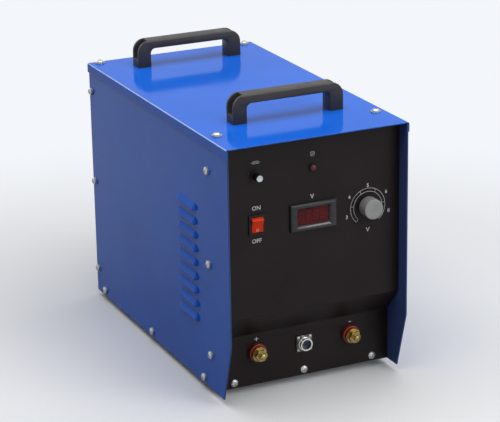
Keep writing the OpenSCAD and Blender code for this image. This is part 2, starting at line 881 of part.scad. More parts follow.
// A rod from z0 to z1 with a dome of a given height on its end
module domed_rod(r, z0, z1, h) {
  ball = (r * r + h * h) / (2 * h);
  middle = z1 + h - ball;
  rotate_extrude()
    intersection() {
      translate([0, z0]) square([r, z1 + h - z0 + over]);
      union() {
        translate([0, middle]) circle(ball);
        if (middle > z0)
          translate([0, z0 - over]) square([r + over, middle - z0 + over]);
      }
    }
}

// A screw with a domed head and a cross recess, seated at Z = 0
module pan_screw(r, head_r, head_h, rim_h, l, slot_w, slot_l, slot_d) {
  difference() {
    union() {
      rod(r, -l, rim_h / 2);
      domed_rod(head_r, 0, rim_h, head_h - rim_h);
    }
    for (a = [0, 90])
      rotate(a) slab(slot_l, slot_w, head_h - slot_d, head_h + over);
  }
}

module case_screw() {
  pan_screw(screw_r, screw_head_r, screw_head_h, screw_rim_h, screw_l,
            recess_w, recess_l, recess_d);
}

module case_nut(z) {
  hex_nut(nut_af, screw_r + thread_play, z - nut_h, z);
}

module screw_hole() {
  rod(screw_r + screw_play, -screw_l - over, screw_head_h + over);
}

// A block with slanted sides, from one size at the rear to another at the front
module taper_block(w0, h0, w1, h1, z0, z1) {
  intersection() {
    rotate([90, 0, 0])
      translate([0, 0, -max(h0, h1)])
        linear_extrude(2 * max(h0, h1))
          polygon([[-w0 / 2, z0], [w0 / 2, z0], [w1 / 2, z1], [-w1 / 2, z1]]);
    rotate([90, 0, 90])
      translate([0, 0, -max(w0, w1)])
        linear_extrude(2 * max(w0, w1))
          polygon([[-h0 / 2, z0], [h0 / 2, z0], [h1 / 2, z1], [-h1 / 2, z1]]);
  }
}

// A rectangle on the ground line with rounded upper corners
module arch_shape(w, h, r) {
  translate([-w / 2, 0]) square([w, h - r]);
  translate([-w / 2 + r, 0]) square([w - 2 * r, h]);
  for (s = [-1, 1])
    translate([s * (w / 2 - r), h - r]) circle(r);
}

// Base pan: floor and four upturned flanges
module base_pan() {
  color("dimgray")
    difference() {
      translate([-inner_x, pan_front_y, base_z])
        cube([2 * inner_x, pan_rear_y - pan_front_y, pan_flange_h]);
      translate([-inner_x + sheet_t, pan_front_y + sheet_t, pan_z])
        cube([2 * (inner_x - sheet_t), pan_rear_y - pan_front_y - 2 * sheet_t, pan_flange_h]);
      for (s = [-1, 1])
        for (m = pan_marks)
          on_side(s, m[0], m[1]) screw_hole();
      for (x = panel_marks) {
        on_lower(x, panel_screw_h) screw_hole();
        on_rear(x, panel_screw_h) screw_hole();
      }
      for (m = foot_marks)
        translate([m[0], m[1], base_z]) rod(screw_r + screw_play, -over, sheet_t + over);
    }
}

// Rubber feet, hollow below for the heads of their screws
module feet() {
  color("black")
    for (m = foot_marks)
      translate([m[0], m[1], 0])
        difference() {
          cylinder(r1 = foot_tip_r, r2 = foot_r, h = foot_h);
          rod(foot_recess_r, -over, foot_recess_d);
          rod(screw_r + screw_play, -over, foot_h + over);
        }
}

module foot_screws() {
  color("silver")
    for (m = foot_marks)
      translate([m[0], m[1], foot_recess_d])
        rotate([180, 0, 0])
          pan_screw(screw_r, screw_head_r, screw_head_h, screw_rim_h, foot_screw_l,
                    recess_w, recess_l, recess_d);
}

// Section of a louvre: a shallow bow from the panel to the lip
module louvre_bow(r) {
  intersection() {
    translate(louvre_mid) circle(r);
    square(louvre_r);
  }
}

// Body of a louvre: the bow carried straight and turned round at both ends
module louvre_body(r) {
  straight = louvre_l - 2 * louvre_out;
  translate([0, straight / 2, 0])
    rotate([90, 0, 0])
      linear_extrude(straight) louvre_bow(r);
  for (s = [-1, 1])
    translate([0, s * straight / 2, 0])
      rotate([0, 0, -90])
        rotate_extrude(angle = 180) louvre_bow(r);
}

// Opening of a louvre in the panel's sheet
module louvre_mouth() {
  straight = louvre_l - 2 * louvre_out;
  along_x(-side_t - over, side_t + 2 * over)
    translate([-straight / 2, 0]) square([straight, louvre_h - 2 * louvre_t]);
}

// Right side panel, with its pressed louvres and screw holes
module side_sheet() {
  difference() {
    union() {
      along_x(inner_x, side_t)
        polygon([
          [front_y, base_z + chamfer_h], [front_y + chamfer_d, base_z],
          [back_y, base_z], [back_y, roof_z - bend_r], [front_y, roof_z - bend_r]
        ]);
      for (i = [0 : louvre_n - 1])
        on_louvre(i) louvre_body(louvre_r);
    }
    for (i = [0 : louvre_n - 1])
      on_louvre(i) {
        louvre_body(louvre_r - louvre_t);
        louvre_mouth();
      }
    for (m = side_marks)
      on_side(1, m[0], m[1]) screw_hole();
  }
}

module on_louvre(i) {
  translate([side_x, front_y + louvre_set, base_z + louvre_first_h + i * louvre_pitch])
    children();
}

module side_panel_left() {
  color("steelblue") mirror([1, 0, 0]) side_sheet();
}

module side_panel_right() {
  color("steelblue") side_sheet();
}

// Top cover: a tray with side flanges and a rear flange, open at the front
module top_cover() {
  color("royalblue")
    difference() {
      translate([0, 0, top_z - cover_flange_h])
        along_y(front_y, case_d)
          arch_shape(case_w, cover_flange_h, bend_r + sheet_t);
      translate([0, 0, top_z - cover_flange_h - over])
        along_y(front_y - over, case_d - sheet_t + over)
          arch_shape(case_w - 2 * sheet_t, cover_flange_h - sheet_t + over, bend_r);
      for (s = [-1, 1]) {
        for (y = [front_col_y, rear_col_y])
          on_top(s * top_screw_x, y) screw_hole();
        for (y = [front_handle_y, rear_handle_y])
          on_top(handle_x + s * handle_screw_x, y) screw_hole();
      }
    }
}

// Front panel: one sheet folded over the top, down the upper face, back along the step
// and down the lower face, with a cheek at each side
module front_panel() {
  mid = sheet_t / 2;
  roof_mid = roof_z - mid;
  upper_mid = upper_y + mid;
  lower_mid = lower_y + mid;
  corner = bend_r + mid;
  cheek_low = base_z + pan_flange_h + flange_gap;
  color("black")
    difference() {
      union() {
        along_x(-inner_x, 2 * inner_x)
          folded([
            [front_y + cheek_d, roof_mid],
            [upper_mid, roof_mid],
            [upper_mid, base_z + step_top_h],
            [lower_mid, base_z + step_low_h],
            [lower_mid, base_z + panel_lift]
          ]);
        for (x = [-inner_x, inner_x - sheet_t])
          along_x(x, sheet_t)
            polygon([
              [front_y + cheek_d, roof_mid],
              [upper_mid + corner, roof_mid],
              [upper_mid, roof_mid - corner],
              [upper_mid, base_z + step_top_h],
              [lower_mid, base_z + step_low_h],
              [lower_mid, cheek_low],
              [front_y + cheek_d, cheek_low]
            ]);
      }
      for (s = [-1, 1]) {
        for (m = front_marks)
          on_side(s, m[0], m[1]) screw_hole();
        on_top(s * top_screw_x, front_col_y) screw_hole();
        on_lower(s * terminal_x, outlet_h)
          rod(bush_neck_r + cutout_play, -sheet_t - over, over);
      }
      for (x = panel_marks)
        on_lower(x, panel_screw_h) screw_hole();
      on_upper(-control_x, control_h)
        slab(switch_w + 2 * cutout_play, switch_h + 2 * cutout_play, -sheet_t - over, over);
      on_upper(0, control_h)
        slab(meter_body_w + 2 * cutout_play, meter_body_h + 2 * cutout_play,
             -sheet_t - over, over);
      on_upper(control_x, control_h)
        rod(bushing_r + cutout_play, -sheet_t - over, over);
      on_upper(-control_x, indicator_h)
        rod(fuse_barrel_r + cutout_play, -sheet_t - over, over);
      on_upper(0, indicator_h)
        rod(lamp_barrel_r + cutout_play, -sheet_t - over, over);
      on_lower(0, outlet_h) {
        rod(socket_body_r + cutout_play, -sheet_t - over, over);
        for (x = [-1, 1])
          for (y = [-1, 1])
            translate([x * socket_screw_x, y * socket_screw_x, 0])
              rod(small_screw_r + screw_play, -sheet_t - over, over);
      }
    }
}

// Rear panel: a tray that faces forward, open at the bottom over the base pan's flange
module rear_panel() {
  cheek_low = base_z + pan_flange_h + flange_gap;
  color("steelblue")
    difference() {
      translate([-inner_x, back_y - rear_flange_d, base_z])
        cube([2 * inner_x, rear_flange_d, roof_z - base_z]);
      translate([-inner_x + sheet_t, back_y - rear_flange_d - over, base_z - over])
        cube([2 * (inner_x - sheet_t), rear_flange_d - sheet_t + over,
              roof_z - sheet_t - base_z + over]);
      translate([-inner_x - over, back_y - rear_flange_d - over, base_z - over])
        cube([2 * (inner_x + over), rear_flange_d - sheet_t + over, cheek_low - base_z + over]);
      for (s = [-1, 1]) {
        for (m = rear_marks)
          on_side(s, m[0], m[1]) screw_hole();
        on_top(s * top_screw_x, rear_col_y) screw_hole();
      }
      for (x = panel_marks)
        on_rear(x, panel_screw_h) screw_hole();
      on_rear(-rear_fit_x, rear_fit_h) rod(gland_r + cutout_play, -sheet_t - over, over);
      on_rear(rear_fit_x, rear_fit_h) rod(earth_root_r + cutout_play, -sheet_t - over, over);
    }
}

// All screws of the case: nine a side, four on the top, three in front and three behind
module case_screws() {
  color("silver") {
    for (s = [-1, 1])
      on_washers(s) translate([0, 0, washer_t]) case_screw();
    for (x = panel_marks) {
      on_lower(x, panel_screw_h) case_screw();
      on_rear(x, panel_screw_h) case_screw();
    }
  }
}

// Places of the screws with washers, on one side and beside it on the top
module on_washers(s) {
  for (m = side_marks)
    on_side(s, m[0], m[1], $seat = side_washer_r) children();
  for (y = [front_col_y, rear_col_y])
    on_top(s * top_screw_x, y, $seat = washer_r) children();
}

module case_washers() {
  color("silver")
    for (s = [-1, 1])
      on_washers(s)
        difference() {
          rod($seat, 0, washer_t);
          rod(screw_r + screw_play, -over, washer_t + over);
        }
}

// Nuts fixed behind the flanges, and under the handles and on the foot screws
module case_nuts() {
  color("gray") {
    for (s = [-1, 1]) {
      for (m = side_marks)
        on_side(s, m[0], m[1]) case_nut(-side_t - sheet_t);
      for (y = [front_col_y, rear_col_y])
        on_top(s * top_screw_x, y) case_nut(-2 * sheet_t);
      for (y = [front_handle_y, rear_handle_y])
        on_top(handle_x + s * handle_screw_x, y) case_nut(-sheet_t);
    }
    for (x = panel_marks) {
      on_lower(x, panel_screw_h) case_nut(-2 * sheet_t);
      on_rear(x, panel_screw_h) case_nut(-2 * sheet_t);
    }
    for (m = foot_marks)
      translate([m[0], m[1], pan_z + nut_h]) case_nut(0);
  }
}

// A bow handle with a pocket for a screw in the back of each leg
module handle_bow() {
  difference() {
    intersection() {
      along_y(-handle_w / 2, handle_w)
        arch_shape(handle_l, handle_h, handle_round);
      along_x(-handle_l / 2, handle_l)
        polygon([
          [-handle_w / 2, 0], [handle_w / 2, 0],
          [handle_w / 2, handle_h - handle_chamfer],
          [handle_w / 2 - handle_chamfer, handle_h],
          [-handle_w / 2 + handle_chamfer, handle_h],
          [-handle_w / 2, handle_h - handle_chamfer]
        ]);
    }
    translate([0, 0, -over])
      along_y(-handle_w, 2 * handle_w)
        arch_shape(handle_l - 2 * leg_w, grip_clear_h + over, grip_round);
    for (s = [0, 1])
      mirror([s, 0, 0]) {
        translate([handle_l / 2 - pocket_d, -pocket_w / 2, pocket_floor_h])
          cube([pocket_d + over, pocket_w, handle_h]);
        translate([handle_screw_x, 0, 0])
          rod(screw_r + screw_play, -over, pocket_floor_h + over);
      }
  }
}

module handle_front() {
  color("#2a2a2c") on_top(handle_x, front_handle_y) handle_bow();
}

module handle_rear() {
  color("#2a2a2c") on_top(handle_x, rear_handle_y) handle_bow();
}

module handle_screws() {
  color("silver")
    for (x = [-handle_screw_x, handle_screw_x])
      for (y = [front_handle_y, rear_handle_y])
        on_top(handle_x + x, y)
          translate([0, 0, pocket_floor_h])
            pan_screw(screw_r, screw_head_r, screw_head_h, screw_rim_h,
                      pocket_floor_h + sheet_t + nut_h, recess_w, recess_l, recess_d);
}

// Housing of the rocker switch, with its bezel and the holes for the pivot
module switch_housing() {
  color("#202022")
    on_upper(-control_x, control_h)
      difference() {
        union() {
          slab(bezel_w, bezel_h, 0, bezel_t);
          slab(switch_w, switch_h, -switch_d, bezel_t / 2);
        }
        slab(switch_open_w, switch_open_h, -switch_d + switch_floor_t, bezel_t + over);
        translate([-switch_w / 2, 0, -pivot_depth])
          rotate([0, 90, 0]) rod(pivot_r + pivot_play, 0, switch_w);
      }
}

// Section of the rocker at its pivot: round ends and a face that falls to the waist
module rocker_section() {
  lift = rocker_mid + rocker_r * tan(rocker_tilt);
  intersection() {
    circle(rocker_r);
    polygon([
      [-rocker_r, -rocker_under], [rocker_r, -rocker_under],
      [rocker_r, lift], [0, rocker_mid], [-rocker_r, lift]
    ]);
  }
}

module rocker() {
  pin_reach = rocker_w / 2 + rocker_gap + pivot_l;
  color("orangered")
    on_upper(-control_x, control_h)
      translate([0, 0, -pivot_depth]) {
        along_x(-rocker_w / 2, rocker_w)
          rotate(rocker_tilt) rocker_section();
        for (s = [-1, 1])
          rotate([0, s * 90, 0]) rod(pivot_r, 0, pin_reach);
      }
}

module switch_tabs() {
  color("silver")
    on_upper(-control_x, control_h)
      for (x = [-tab_x, tab_x])
        for (y = [-tab_y, tab_y])
          translate([x, y, 0]) slab(tab_w, tab_t, -switch_d - tab_l, -switch_d);
}

// Meter housing: bevelled bezel, slanted window frame and a closed body behind
module meter_case() {
  color("#3c3c40")
    on_upper(0, control_h)
      difference() {
        union() {
          slab(meter_w, meter_h, 0, meter_t - meter_bevel);
          taper_block(meter_w, meter_h, meter_w - 2 * meter_bevel, meter_h - 2 * meter_bevel,
                      meter_t - meter_bevel, meter_t);
          slab(meter_body_w, meter_body_h, -meter_d, meter_t / 2);
        }
        taper_block(window_w, window_h, window_w + 2 * window_slope,
                    window_h + 2 * window_slope, window_t, meter_t);
        slab(window_w, window_h, 0, window_t + over);
        slab(window_w + 2 * window_ledge, window_h + 2 * window_ledge, 0, window_t);
        slab(meter_body_w - 2 * meter_wall, meter_body_h - 2 * meter_wall,
             -meter_d + meter_wall, 0);
      }
}

module meter_window() {
  color("#5a1018")
    on_upper(0, control_h)
      slab(window_w + 2 * window_ledge - cutout_play, window_h + 2 * window_ledge - cutout_play,
           0, window_t);
}

// Digit blocks behind the window, on their board
module meter_display() {
  color("#301014")
    on_upper(0, control_h) {
      for (i = [0 : digit_n - 1])
        translate([(i - (digit_n - 1) / 2) * digit_pitch, 0, 0])
          slab(digit_w, digit_h, -digit_d, 0);
      slab(window_w, window_h, -digit_d - display_board_t, -digit_d);
    }
}

// Lamp: a turned bezel with its barrel, and a domed lens
module lamp_bezel() {
  color("#202022")
    on_upper(0, indicator_h)
      rotate_extrude()
        polygon([
          [0, -lamp_barrel_l], [lamp_barrel_r, -lamp_barrel_l], [lamp_barrel_r, 0],
          [lamp_r, 0], [lamp_r, lamp_t - lamp_chamfer], [lamp_r - lamp_chamfer, lamp_t],
          [lens_r, lamp_t], [lens_r, -lens_seat], [0, -lens_seat]
        ]);
}

module lamp_lens() {
  color("#7a2030")
    on_upper(0, indicator_h)
      domed_rod(lens_r - insert_play, -lens_seat, lamp_t, lens_dome_h);
}

// Fuse holder: flange and barrel
module fuse_body() {
  color("#202022")
    on_upper(-control_x, indicator_h)
      difference() {
        union() {
          rod(fuse_flange_r, 0, fuse_flange_t);
          rod(fuse_barrel_r, -fuse_barrel_l, fuse_flange_t / 2);
        }
        rod(fuse_bore_r, -fuse_barrel_l + fuse_flange_t, fuse_flange_t + over);
      }
}

// Glass fuse with its two end caps
module fuse_link() {
  color("lightgray")
    on_upper(-control_x, indicator_h) {
      rod(fuse_r, fuse_front - fuse_ferrule_l, fuse_front);
      rod(fuse_r - fuse_ferrule_t, fuse_front - fuse_l, fuse_front);
      rod(fuse_r, fuse_front - fuse_l, fuse_front - fuse_l + fuse_ferrule_l);
    }
}

// Fuse cap: grooved grip, stem in the barrel, and a seat for the fuse and the metal end
module fuse_cap() {
  grip_rear = fuse_flange_t + fuse_cap_gap;
  color("#202022")
    on_upper(-control_x, indicator_h)
      difference() {
        union() {
          rod(fuse_cap_r, grip_rear, fuse_cap_l);
          rod(fuse_bore_r - fuse_play, -fuse_stem_l, fuse_cap_l / 2);
        }
        rod(fuse_r + fuse_play, -fuse_stem_l - over, fuse_front);
        rod(fuse_end_r, fuse_cap_l + fuse_end_proud - fuse_end_t, fuse_cap_l + over);
        for (i = [0 : fuse_groove_n - 1])
          rotate(i * 360 / fuse_groove_n)
            translate([fuse_cap_r, 0, 0])
              rod(fuse_groove_r, grip_rear - over, fuse_cap_l + over);
      }
}

module fuse_cap_end() {
  face = fuse_cap_l + fuse_end_proud;
  color("silver")
    on_upper(-control_x, indicator_h)
      difference() {
        rod(fuse_end_r, face - fuse_end_t, face);
        slab(2 * fuse_end_r + over, fuse_slot_w, face - fuse_slot_d, face + over);
      }
}

// Potentiometer: body behind the panel, bushing through it, and a bore for the shaft
module pot_body() {
  color("slategray")
    on_upper(control_x, control_h)
      difference() {
        union() {
          rod(pot_r, -sheet_t - pot_l, -sheet_t);
          rod(bushing_r, -sheet_t - pot_l / 2, bushing_l);
        }
        rod(shaft_r + shaft_play, -shaft_rear, bushing_l + over);
      }
}

module pot_shaft() {
  color("silver")
    on_upper(control_x, control_h)
      rod(shaft_r, -shaft_rear + cutout_play, knob_front - knob_top_t);
}

// Knob: a turned body with a grooved side, hollow over the nut, bored for the shaft
module knob() {
  color("gainsboro")
    on_upper(control_x, control_h)
      difference() {
        rotate_extrude() {
          polygon([
            [0, knob_lift], [knob_r, knob_lift], [knob_r, knob_front - knob_rim],
            [knob_r - knob_rim, knob_front - knob_rim], [knob_r - knob_rim, knob_front],
            [0, knob_front]
          ]);
          intersection() {
            translate([knob_r - knob_rim, knob_front - knob_rim]) circle(knob_rim);
            translate([knob_r - knob_rim, knob_front - knob_rim]) square(knob_rim);
          }
        }
        rod(knob_hollow_r, knob_lift - over, knob_hollow_l);
        rod(shaft_r, knob_lift, knob_front - knob_top_t);
        translate([0, 0, set_screw_front])
          rotate([90, 0, 0]) rod(set_screw_r, 0, knob_r + over);
        for (i = [0 : knob_groove_n - 1])
          rotate(i * 360 / knob_groove_n)
            translate([knob_r, 0, 0])
              rod(knob_groove_r, knob_lift - over, knob_front - knob_groove_end);
      }
}

module knob_screw() {
  color("dimgray")
    on_upper(control_x, control_h)
      translate([0, 0, set_screw_front])
        rotate([90, 0, 0])
          difference() {
            rod(set_screw_r, shaft_r, shaft_r + set_screw_l);
            hexagon(set_socket_af, shaft_r + set_screw_l - set_socket_d,
                    shaft_r + set_screw_l + over);
          }
}

// Nuts that hold the fuse, the lamp, the potentiometer and the gland
module panel_nuts() {
  color("gray") {
    on_upper(-control_x, indicator_h)
      hex_nut(fuse_nut_af, fuse_barrel_r + thread_play, -sheet_t - fuse_nut_h, -sheet_t);
    on_upper(0, indicator_h)
      hex_nut(lamp_nut_af, lamp_barrel_r + thread_play, -sheet_t - lamp_nut_h, -sheet_t);
    on_upper(control_x, control_h)
      hex_nut(pot_nut_af, bushing_r + thread_play, 0, pot_nut_h);
    on_rear(-rear_fit_x, rear_fit_h)
      hex_nut(gland_nut_af, gland_r + thread_play, -sheet_t - gland_nut_h, -sheet_t);
  }
}

// A disc with one rounded rim, from z0 up to z1
module rimmed_disc(r, rim, z0, z1) {
  rotate_extrude() {
    square([r - rim, z1 - z0]);
    square([r, z1 - z0 - rim]);
    translate([r - rim, z1 - z0 - rim]) circle(rim);
  }
}

// Insulating bushes of the terminals, one in front of the panel and one behind
module terminal_bushes() {
  color("firebrick")
    for (x = [-terminal_x, terminal_x])
      on_lower(x, outlet_h) {
        difference() {
          union() {
            rimmed_disc(bush_r, bush_rim, 0, bush_front_t);
            rod(bush_neck_r, -sheet_t + cutout_play, bush_front_t / 2);
          }
          rod(stud_r + stud_play, -sheet_t - over, bush_front_t + over);
        }
        difference() {
          translate([0, 0, -sheet_t])
            mirror([0, 0, 1]) rimmed_disc(bush_r, bush_rim, 0, bush_rear_t);
          rod(stud_r + stud_play, -sheet_t - bush_rear_t - over, 0);
        }
      }
}

// Terminal studs with their collars and domed plain ends
module terminal_studs() {
  color("#b5903c")
    for (x = [-terminal_x, terminal_x])
      on_lower(x, outlet_h) {
        rod(stud_r, -stud_rear_l, thread_front);
        rod(collar_r, bush_front_t, collar_front);
        domed_rod(stud_end_r, thread_front - over, thread_front + stud_end_l, stud_dome_h);
      }
}

// Brass nuts behind the terminals, on the capacitors' poles and on the earth stud
module stud_nuts() {
  color("#b5903c") {
    for (x = [-terminal_x, terminal_x])
      on_lower(x, outlet_h)
        for (z = [lock_rear, strap_rear - lock_nut_h])
          hex_nut(lock_nut_af, stud_r + stud_play, z, z + lock_nut_h);
    for (y = cap_marks)
      for (s = [-1, 1])
        translate([cap_x + s * cap_pole_x, y, bar_z + bar_t])
          hex_nut(pole_nut_af, cap_stud_r + thread_play, 0, pole_nut_h);
    on_rear(rear_fit_x, rear_fit_h)
      for (z = [-sheet_t - earth_nut_h, 0])
        hex_nut(earth_nut_af, earth_root_r + thread_play, z, z + earth_nut_h);
  }
}

// Clamp washers and nuts, which run on the terminals' threads
module clamp_washer(x) {
  on_lower(x, outlet_h)
    difference() {
      rod(clamp_washer_r, collar_front, collar_front + clamp_washer_t);
      rod(stud_r + stud_play, collar_front - over, collar_front + clamp_washer_t + over);
    }
}

module clamp_nut(x) {
  seat = collar_front + clamp_washer_t;
  on_lower(x, outlet_h)
    turned_nut(clamp_nut_af, stud_r + stud_play, seat, seat + clamp_nut_h);
}

module left_washer() {
  color("#c9a24a") clamp_washer(-terminal_x);
}

module left_nut() {
  color("#c9a24a") clamp_nut(-terminal_x);
}

module right_washer() {
  color("#c9a24a") clamp_washer(terminal_x);
}

module right_nut() {
  color("#c9a24a") clamp_nut(terminal_x);
}

// Control socket: square flange, barrel and rear body with one bore
module socket_shell() {
  color("silver")
    on_lower(0, outlet_h)
      difference() {
        union() {
          slab(socket_flange, socket_flange, 0, socket_flange_t);
          rod(shoulder_r, socket_flange_t / 2, socket_flange_t + shoulder_l);
          rod(barrel_r, socket_flange_t, socket_front);
          rod(socket_body_r, -socket_body_l, socket_flange_t / 2);
        }
        rod(socket_bore_r, -socket_body_l - over, socket_front + over);
        for (x = [-1, 1])
          for (y = [-1, 1])
            translate([x * socket_screw_x, y * socket_screw_x, 0])
              rod(small_screw_r + screw_play, -over, socket_flange_t + over);
      }
}

// Insulating insert with a bore for each pin
module socket_insert() {
  color("#1c2c48")
    on_lower(0, outlet_h)
      difference() {
        rod(socket_bore_r - insert_play, -socket_body_l, insert_front);
        for (i = [0 : pin_n - 1])
          rotate((i + 1 / 2) * 360 / pin_n)
            translate([pin_ring_r, 0, 0])
              rod(pin_r + insert_play, -socket_body_l - over, insert_front + over);
      }
}

module socket_pins() {
  color("#c9a24a")
    on_lower(0, outlet_h)
      for (i = [0 : pin_n - 1])
        rotate((i + 1 / 2) * 360 / pin_n)
          translate([pin_ring_r, 0, 0])
            rod(pin_r, -socket_body_l - pin_tail, insert_front + pin_out);
}

// Screws and nuts of the socket's flange
module socket_screws() {
  color("silver")
    on_lower(0, outlet_h)
      for (x = [-1, 1])
        for (y = [-1, 1])
          translate([x * socket_screw_x, y * socket_screw_x, 0]) {
            translate([0, 0, socket_flange_t])
              pan_screw(small_screw_r, small_head_r, small_head_h, small_rim_h, small_screw_l,
                        recess_w / 2, recess_l / 2, recess_d / 2);
            hex_nut(small_nut_af, small_screw_r + thread_play,
                    -sheet_t - small_nut_h, -sheet_t);
          }
}

// Cable gland: threaded body with a hexagon, cap and rubber seal
module gland_body() {
  color("#202022")
    on_rear(-rear_fit_x, rear_fit_h)
      difference() {
        union() {
          hexagon(gland_af, 0, gland_hex_l);
          rod(gland_r, -sheet_t - gland_inner_l, gland_hex_l + gland_thread_l);
        }
        rod(gland_bore_r, -sheet_t - gland_inner_l - over, gland_hex_l + gland_thread_l + over);
      }
}

module gland_cap() {
  rear = gland_hex_l + gland_gap;
  front = rear + gland_cap_l;
  color("#202022")
    on_rear(-rear_fit_x, rear_fit_h)
      difference() {
        turned_nut(gland_af, gland_mouth_r, rear, front);
        rod(gland_r + thread_play, rear - over, front - gland_cap_wall);
      }
}

module gland_seal() {
  front = gland_hex_l + gland_gap + gland_cap_l - gland_cap_wall;
  color("black")
    on_rear(-rear_fit_x, rear_fit_h)
      difference() {
        rod(gland_bore_r - seal_play, front - seal_l, front);
        rod(seal_bore_r, front - seal_l - over, front + over);
      }
}

// Earth stud, held by a nut on each face of the rear panel
module earth_stud() {
  color("#b5903c")
    on_rear(rear_fit_x, rear_fit_h) {
      rod(earth_root_r, -sheet_t - earth_inner_l, earth_nut_h);
      rod(earth_r, earth_nut_h - over, earth_nut_h + earth_l);
    }
}

// Row of capacitors: can with a rolled rim, deck and two poles with studs
module capacitors() {
  color("#46525e")
    for (y = cap_marks)
      translate([cap_x, y, 0]) {
        difference() {
          rod(cap_r, pan_z, cap_deck_z);
          rod(cap_r - cap_rim_w, cap_deck_z - cap_rim_h, cap_deck_z + over);
        }
        for (s = [-1, 1])
          translate([s * cap_pole_x, 0, 0]) {
            rod(cap_pole_r, cap_deck_z - cap_rim_h - over, bar_z);
            rod(cap_stud_r, bar_z - over, bar_z + cap_stud_l);
          }
      }
}

// Rings with two ears that hold the capacitors to the base
module capacitor_clamps() {
  color("silver")
    for (y = cap_marks)
      translate([cap_x, y, 0])
        difference() {
          union() {
            rod(cap_r + clamp_t, pan_z, pan_z + clamp_h);
            slab(2 * (cap_r + clamp_t + ear_l), ear_w, pan_z, pan_z + ear_t);
          }
          rod(cap_r, pan_z - over, pan_z + clamp_h + over);
        }
}

// Copper bars over the poles; the outer one runs on to the right terminal's strap
module bus_bars() {
  bar_rear = cap_marks[cap_n - 1] + bar_tail;
  color("#b87333")
    difference() {
      union() {
        translate([cap_x + cap_pole_x - bar_w / 2, strap_y, bar_z])
          cube([bar_w, bar_rear - strap_y, bar_t]);
        translate([cap_x - cap_pole_x - bar_w / 2, sink_y - contact_y - bar_w / 2, bar_z])
          cube([bar_w, bar_rear - (sink_y - contact_y - bar_w / 2), bar_t]);
      }
      for (y = cap_marks)
        for (s = [-1, 1])
          translate([cap_x + s * cap_pole_x, y, bar_z])
            rod(cap_stud_r + screw_play, -over, bar_t + over);
    }
}

// Straps: right terminal to its bar, left terminal to the thyristor, thyristor to the other bar
module straps() {
  foot = base_z + outlet_h - bar_w / 2;
  color("#b87333") {
    difference() {
      union() {
        translate([terminal_x - bar_w / 2, strap_y, foot])
          cube([bar_w, bar_t, bar_z - foot]);
        translate([-terminal_x - bar_w / 2, strap_y, foot])
          cube([bar_w, bar_t, contact_z + bar_t - foot]);
        translate([-terminal_x - bar_w / 2, strap_y, contact_z])
          cube([bar_w, sink_y - contact_y + contact_w / 2 - strap_y, bar_t]);
      }
      for (x = [-terminal_x, terminal_x])
        on_lower(x, outlet_h) rod(stud_r + stud_play, strap_rear - over, lock_rear + over);
    }
    translate([0, sink_y + contact_y - bar_w / 2, 0]) {
      translate([-power_x - bar_w / 2, 0, contact_z])
        cube([bar_t, bar_w, bar_z + 2 * bar_t - contact_z]);
      translate([-power_x - bar_w / 2, 0, contact_z])
        cube([bar_w, bar_w, bar_t]);
      translate([-power_x - bar_w / 2, 0, bar_z + bar_t])
        cube([power_x + bar_w + cap_x - cap_pole_x, bar_w, bar_t]);
    }
  }
}

// Transformer core with two windows
module transformer_core() {
  window_d = (core_w - core_leg_w) / 2 - core_yoke_w;
  color("dimgray")
    translate([-power_x, transformer_y, pan_z])
      difference() {
        slab(core_w, core_d, 0, core_h);
        for (s = [-1, 1])
          translate([s * (core_leg_w + window_d) / 2, 0, 0])
            slab(window_d, core_d + 2 * over, core_yoke_w, core_h - core_yoke_w);
      }
}

// Coil around the middle leg, seated on the lower yoke
module transformer_coil() {
  window_d = (core_w - core_leg_w) / 2 - core_yoke_w;
  color("#8a5a20")
    translate([-power_x, transformer_y, pan_z])
      difference() {
        slab(core_leg_w + 2 * (window_d - coil_gap), core_d + 2 * coil_out,
             core_yoke_w, core_h - core_yoke_w - coil_gap);
        slab(core_leg_w + 2 * coil_gap, core_d + 2 * coil_gap,
             core_yoke_w - over, core_h - core_yoke_w + over);
      }
}

// Heat sink on its fins
module heat_sink() {
  fin_step = (sink_w - fin_t) / (fin_n - 1);
  color("silver")
    translate([-power_x, sink_y, pan_z]) {
      slab(sink_w, sink_d, fin_h, fin_h + sink_t);
      for (i = [0 : fin_n - 1])
        translate([(i - (fin_n - 1) / 2) * fin_step, 0, 0])
          slab(fin_t, sink_d, 0, fin_h + sink_t / 2);
    }
}

// Thyristor module with its base and contacts
module thyristor() {
  color("#303034")
    translate([-power_x, sink_y, sink_z]) {
      slab(thyristor_w, thyristor_d, 0, thyristor_base_t);
      slab(thyristor_w, thyristor_d - 2 * thyristor_step, 0, thyristor_h);
      for (y = [-contact_y, contact_y])
        translate([0, y, 0]) slab(contact_w, contact_w, thyristor_h - over,
                                  thyristor_h + contact_h);
    }
}

module rectifier() {
  color("#303034")
    translate([-power_x + rectifier_x, sink_y, sink_z])
      slab(rectifier_w, rectifier_w, 0, rectifier_h);
}

// Control board on posts inside the rear panel
module control_board() {
  color("seagreen")
    translate([-board_w / 2, board_y, board_z - board_h / 2])
      cube([board_w, board_t, board_h]);
}

module board_posts() {
  color("#b5903c")
    for (m = board_marks)
      translate([m[0], board_y + board_t, board_z + m[1]])
        rotate([-90, 0, 0]) rod(post_r, 0, post_l);
}

// Relays, capacitors and a terminal strip on the control board
module board_parts() {
  color("#303034")
    translate([0, board_y, board_z])
      rotate([90, 0, 0]) {
        for (i = [-1, 0, 1]) {
          translate([i * board_step, board_row, 0]) slab(relay_w, relay_h, 0, relay_d);
          translate([i * board_step, 0, 0]) rod(board_cap_r, 0, board_cap_l);
        }
        translate([0, -board_row, 0]) slab(strip_w, strip_h, 0, strip_d);
      }
}

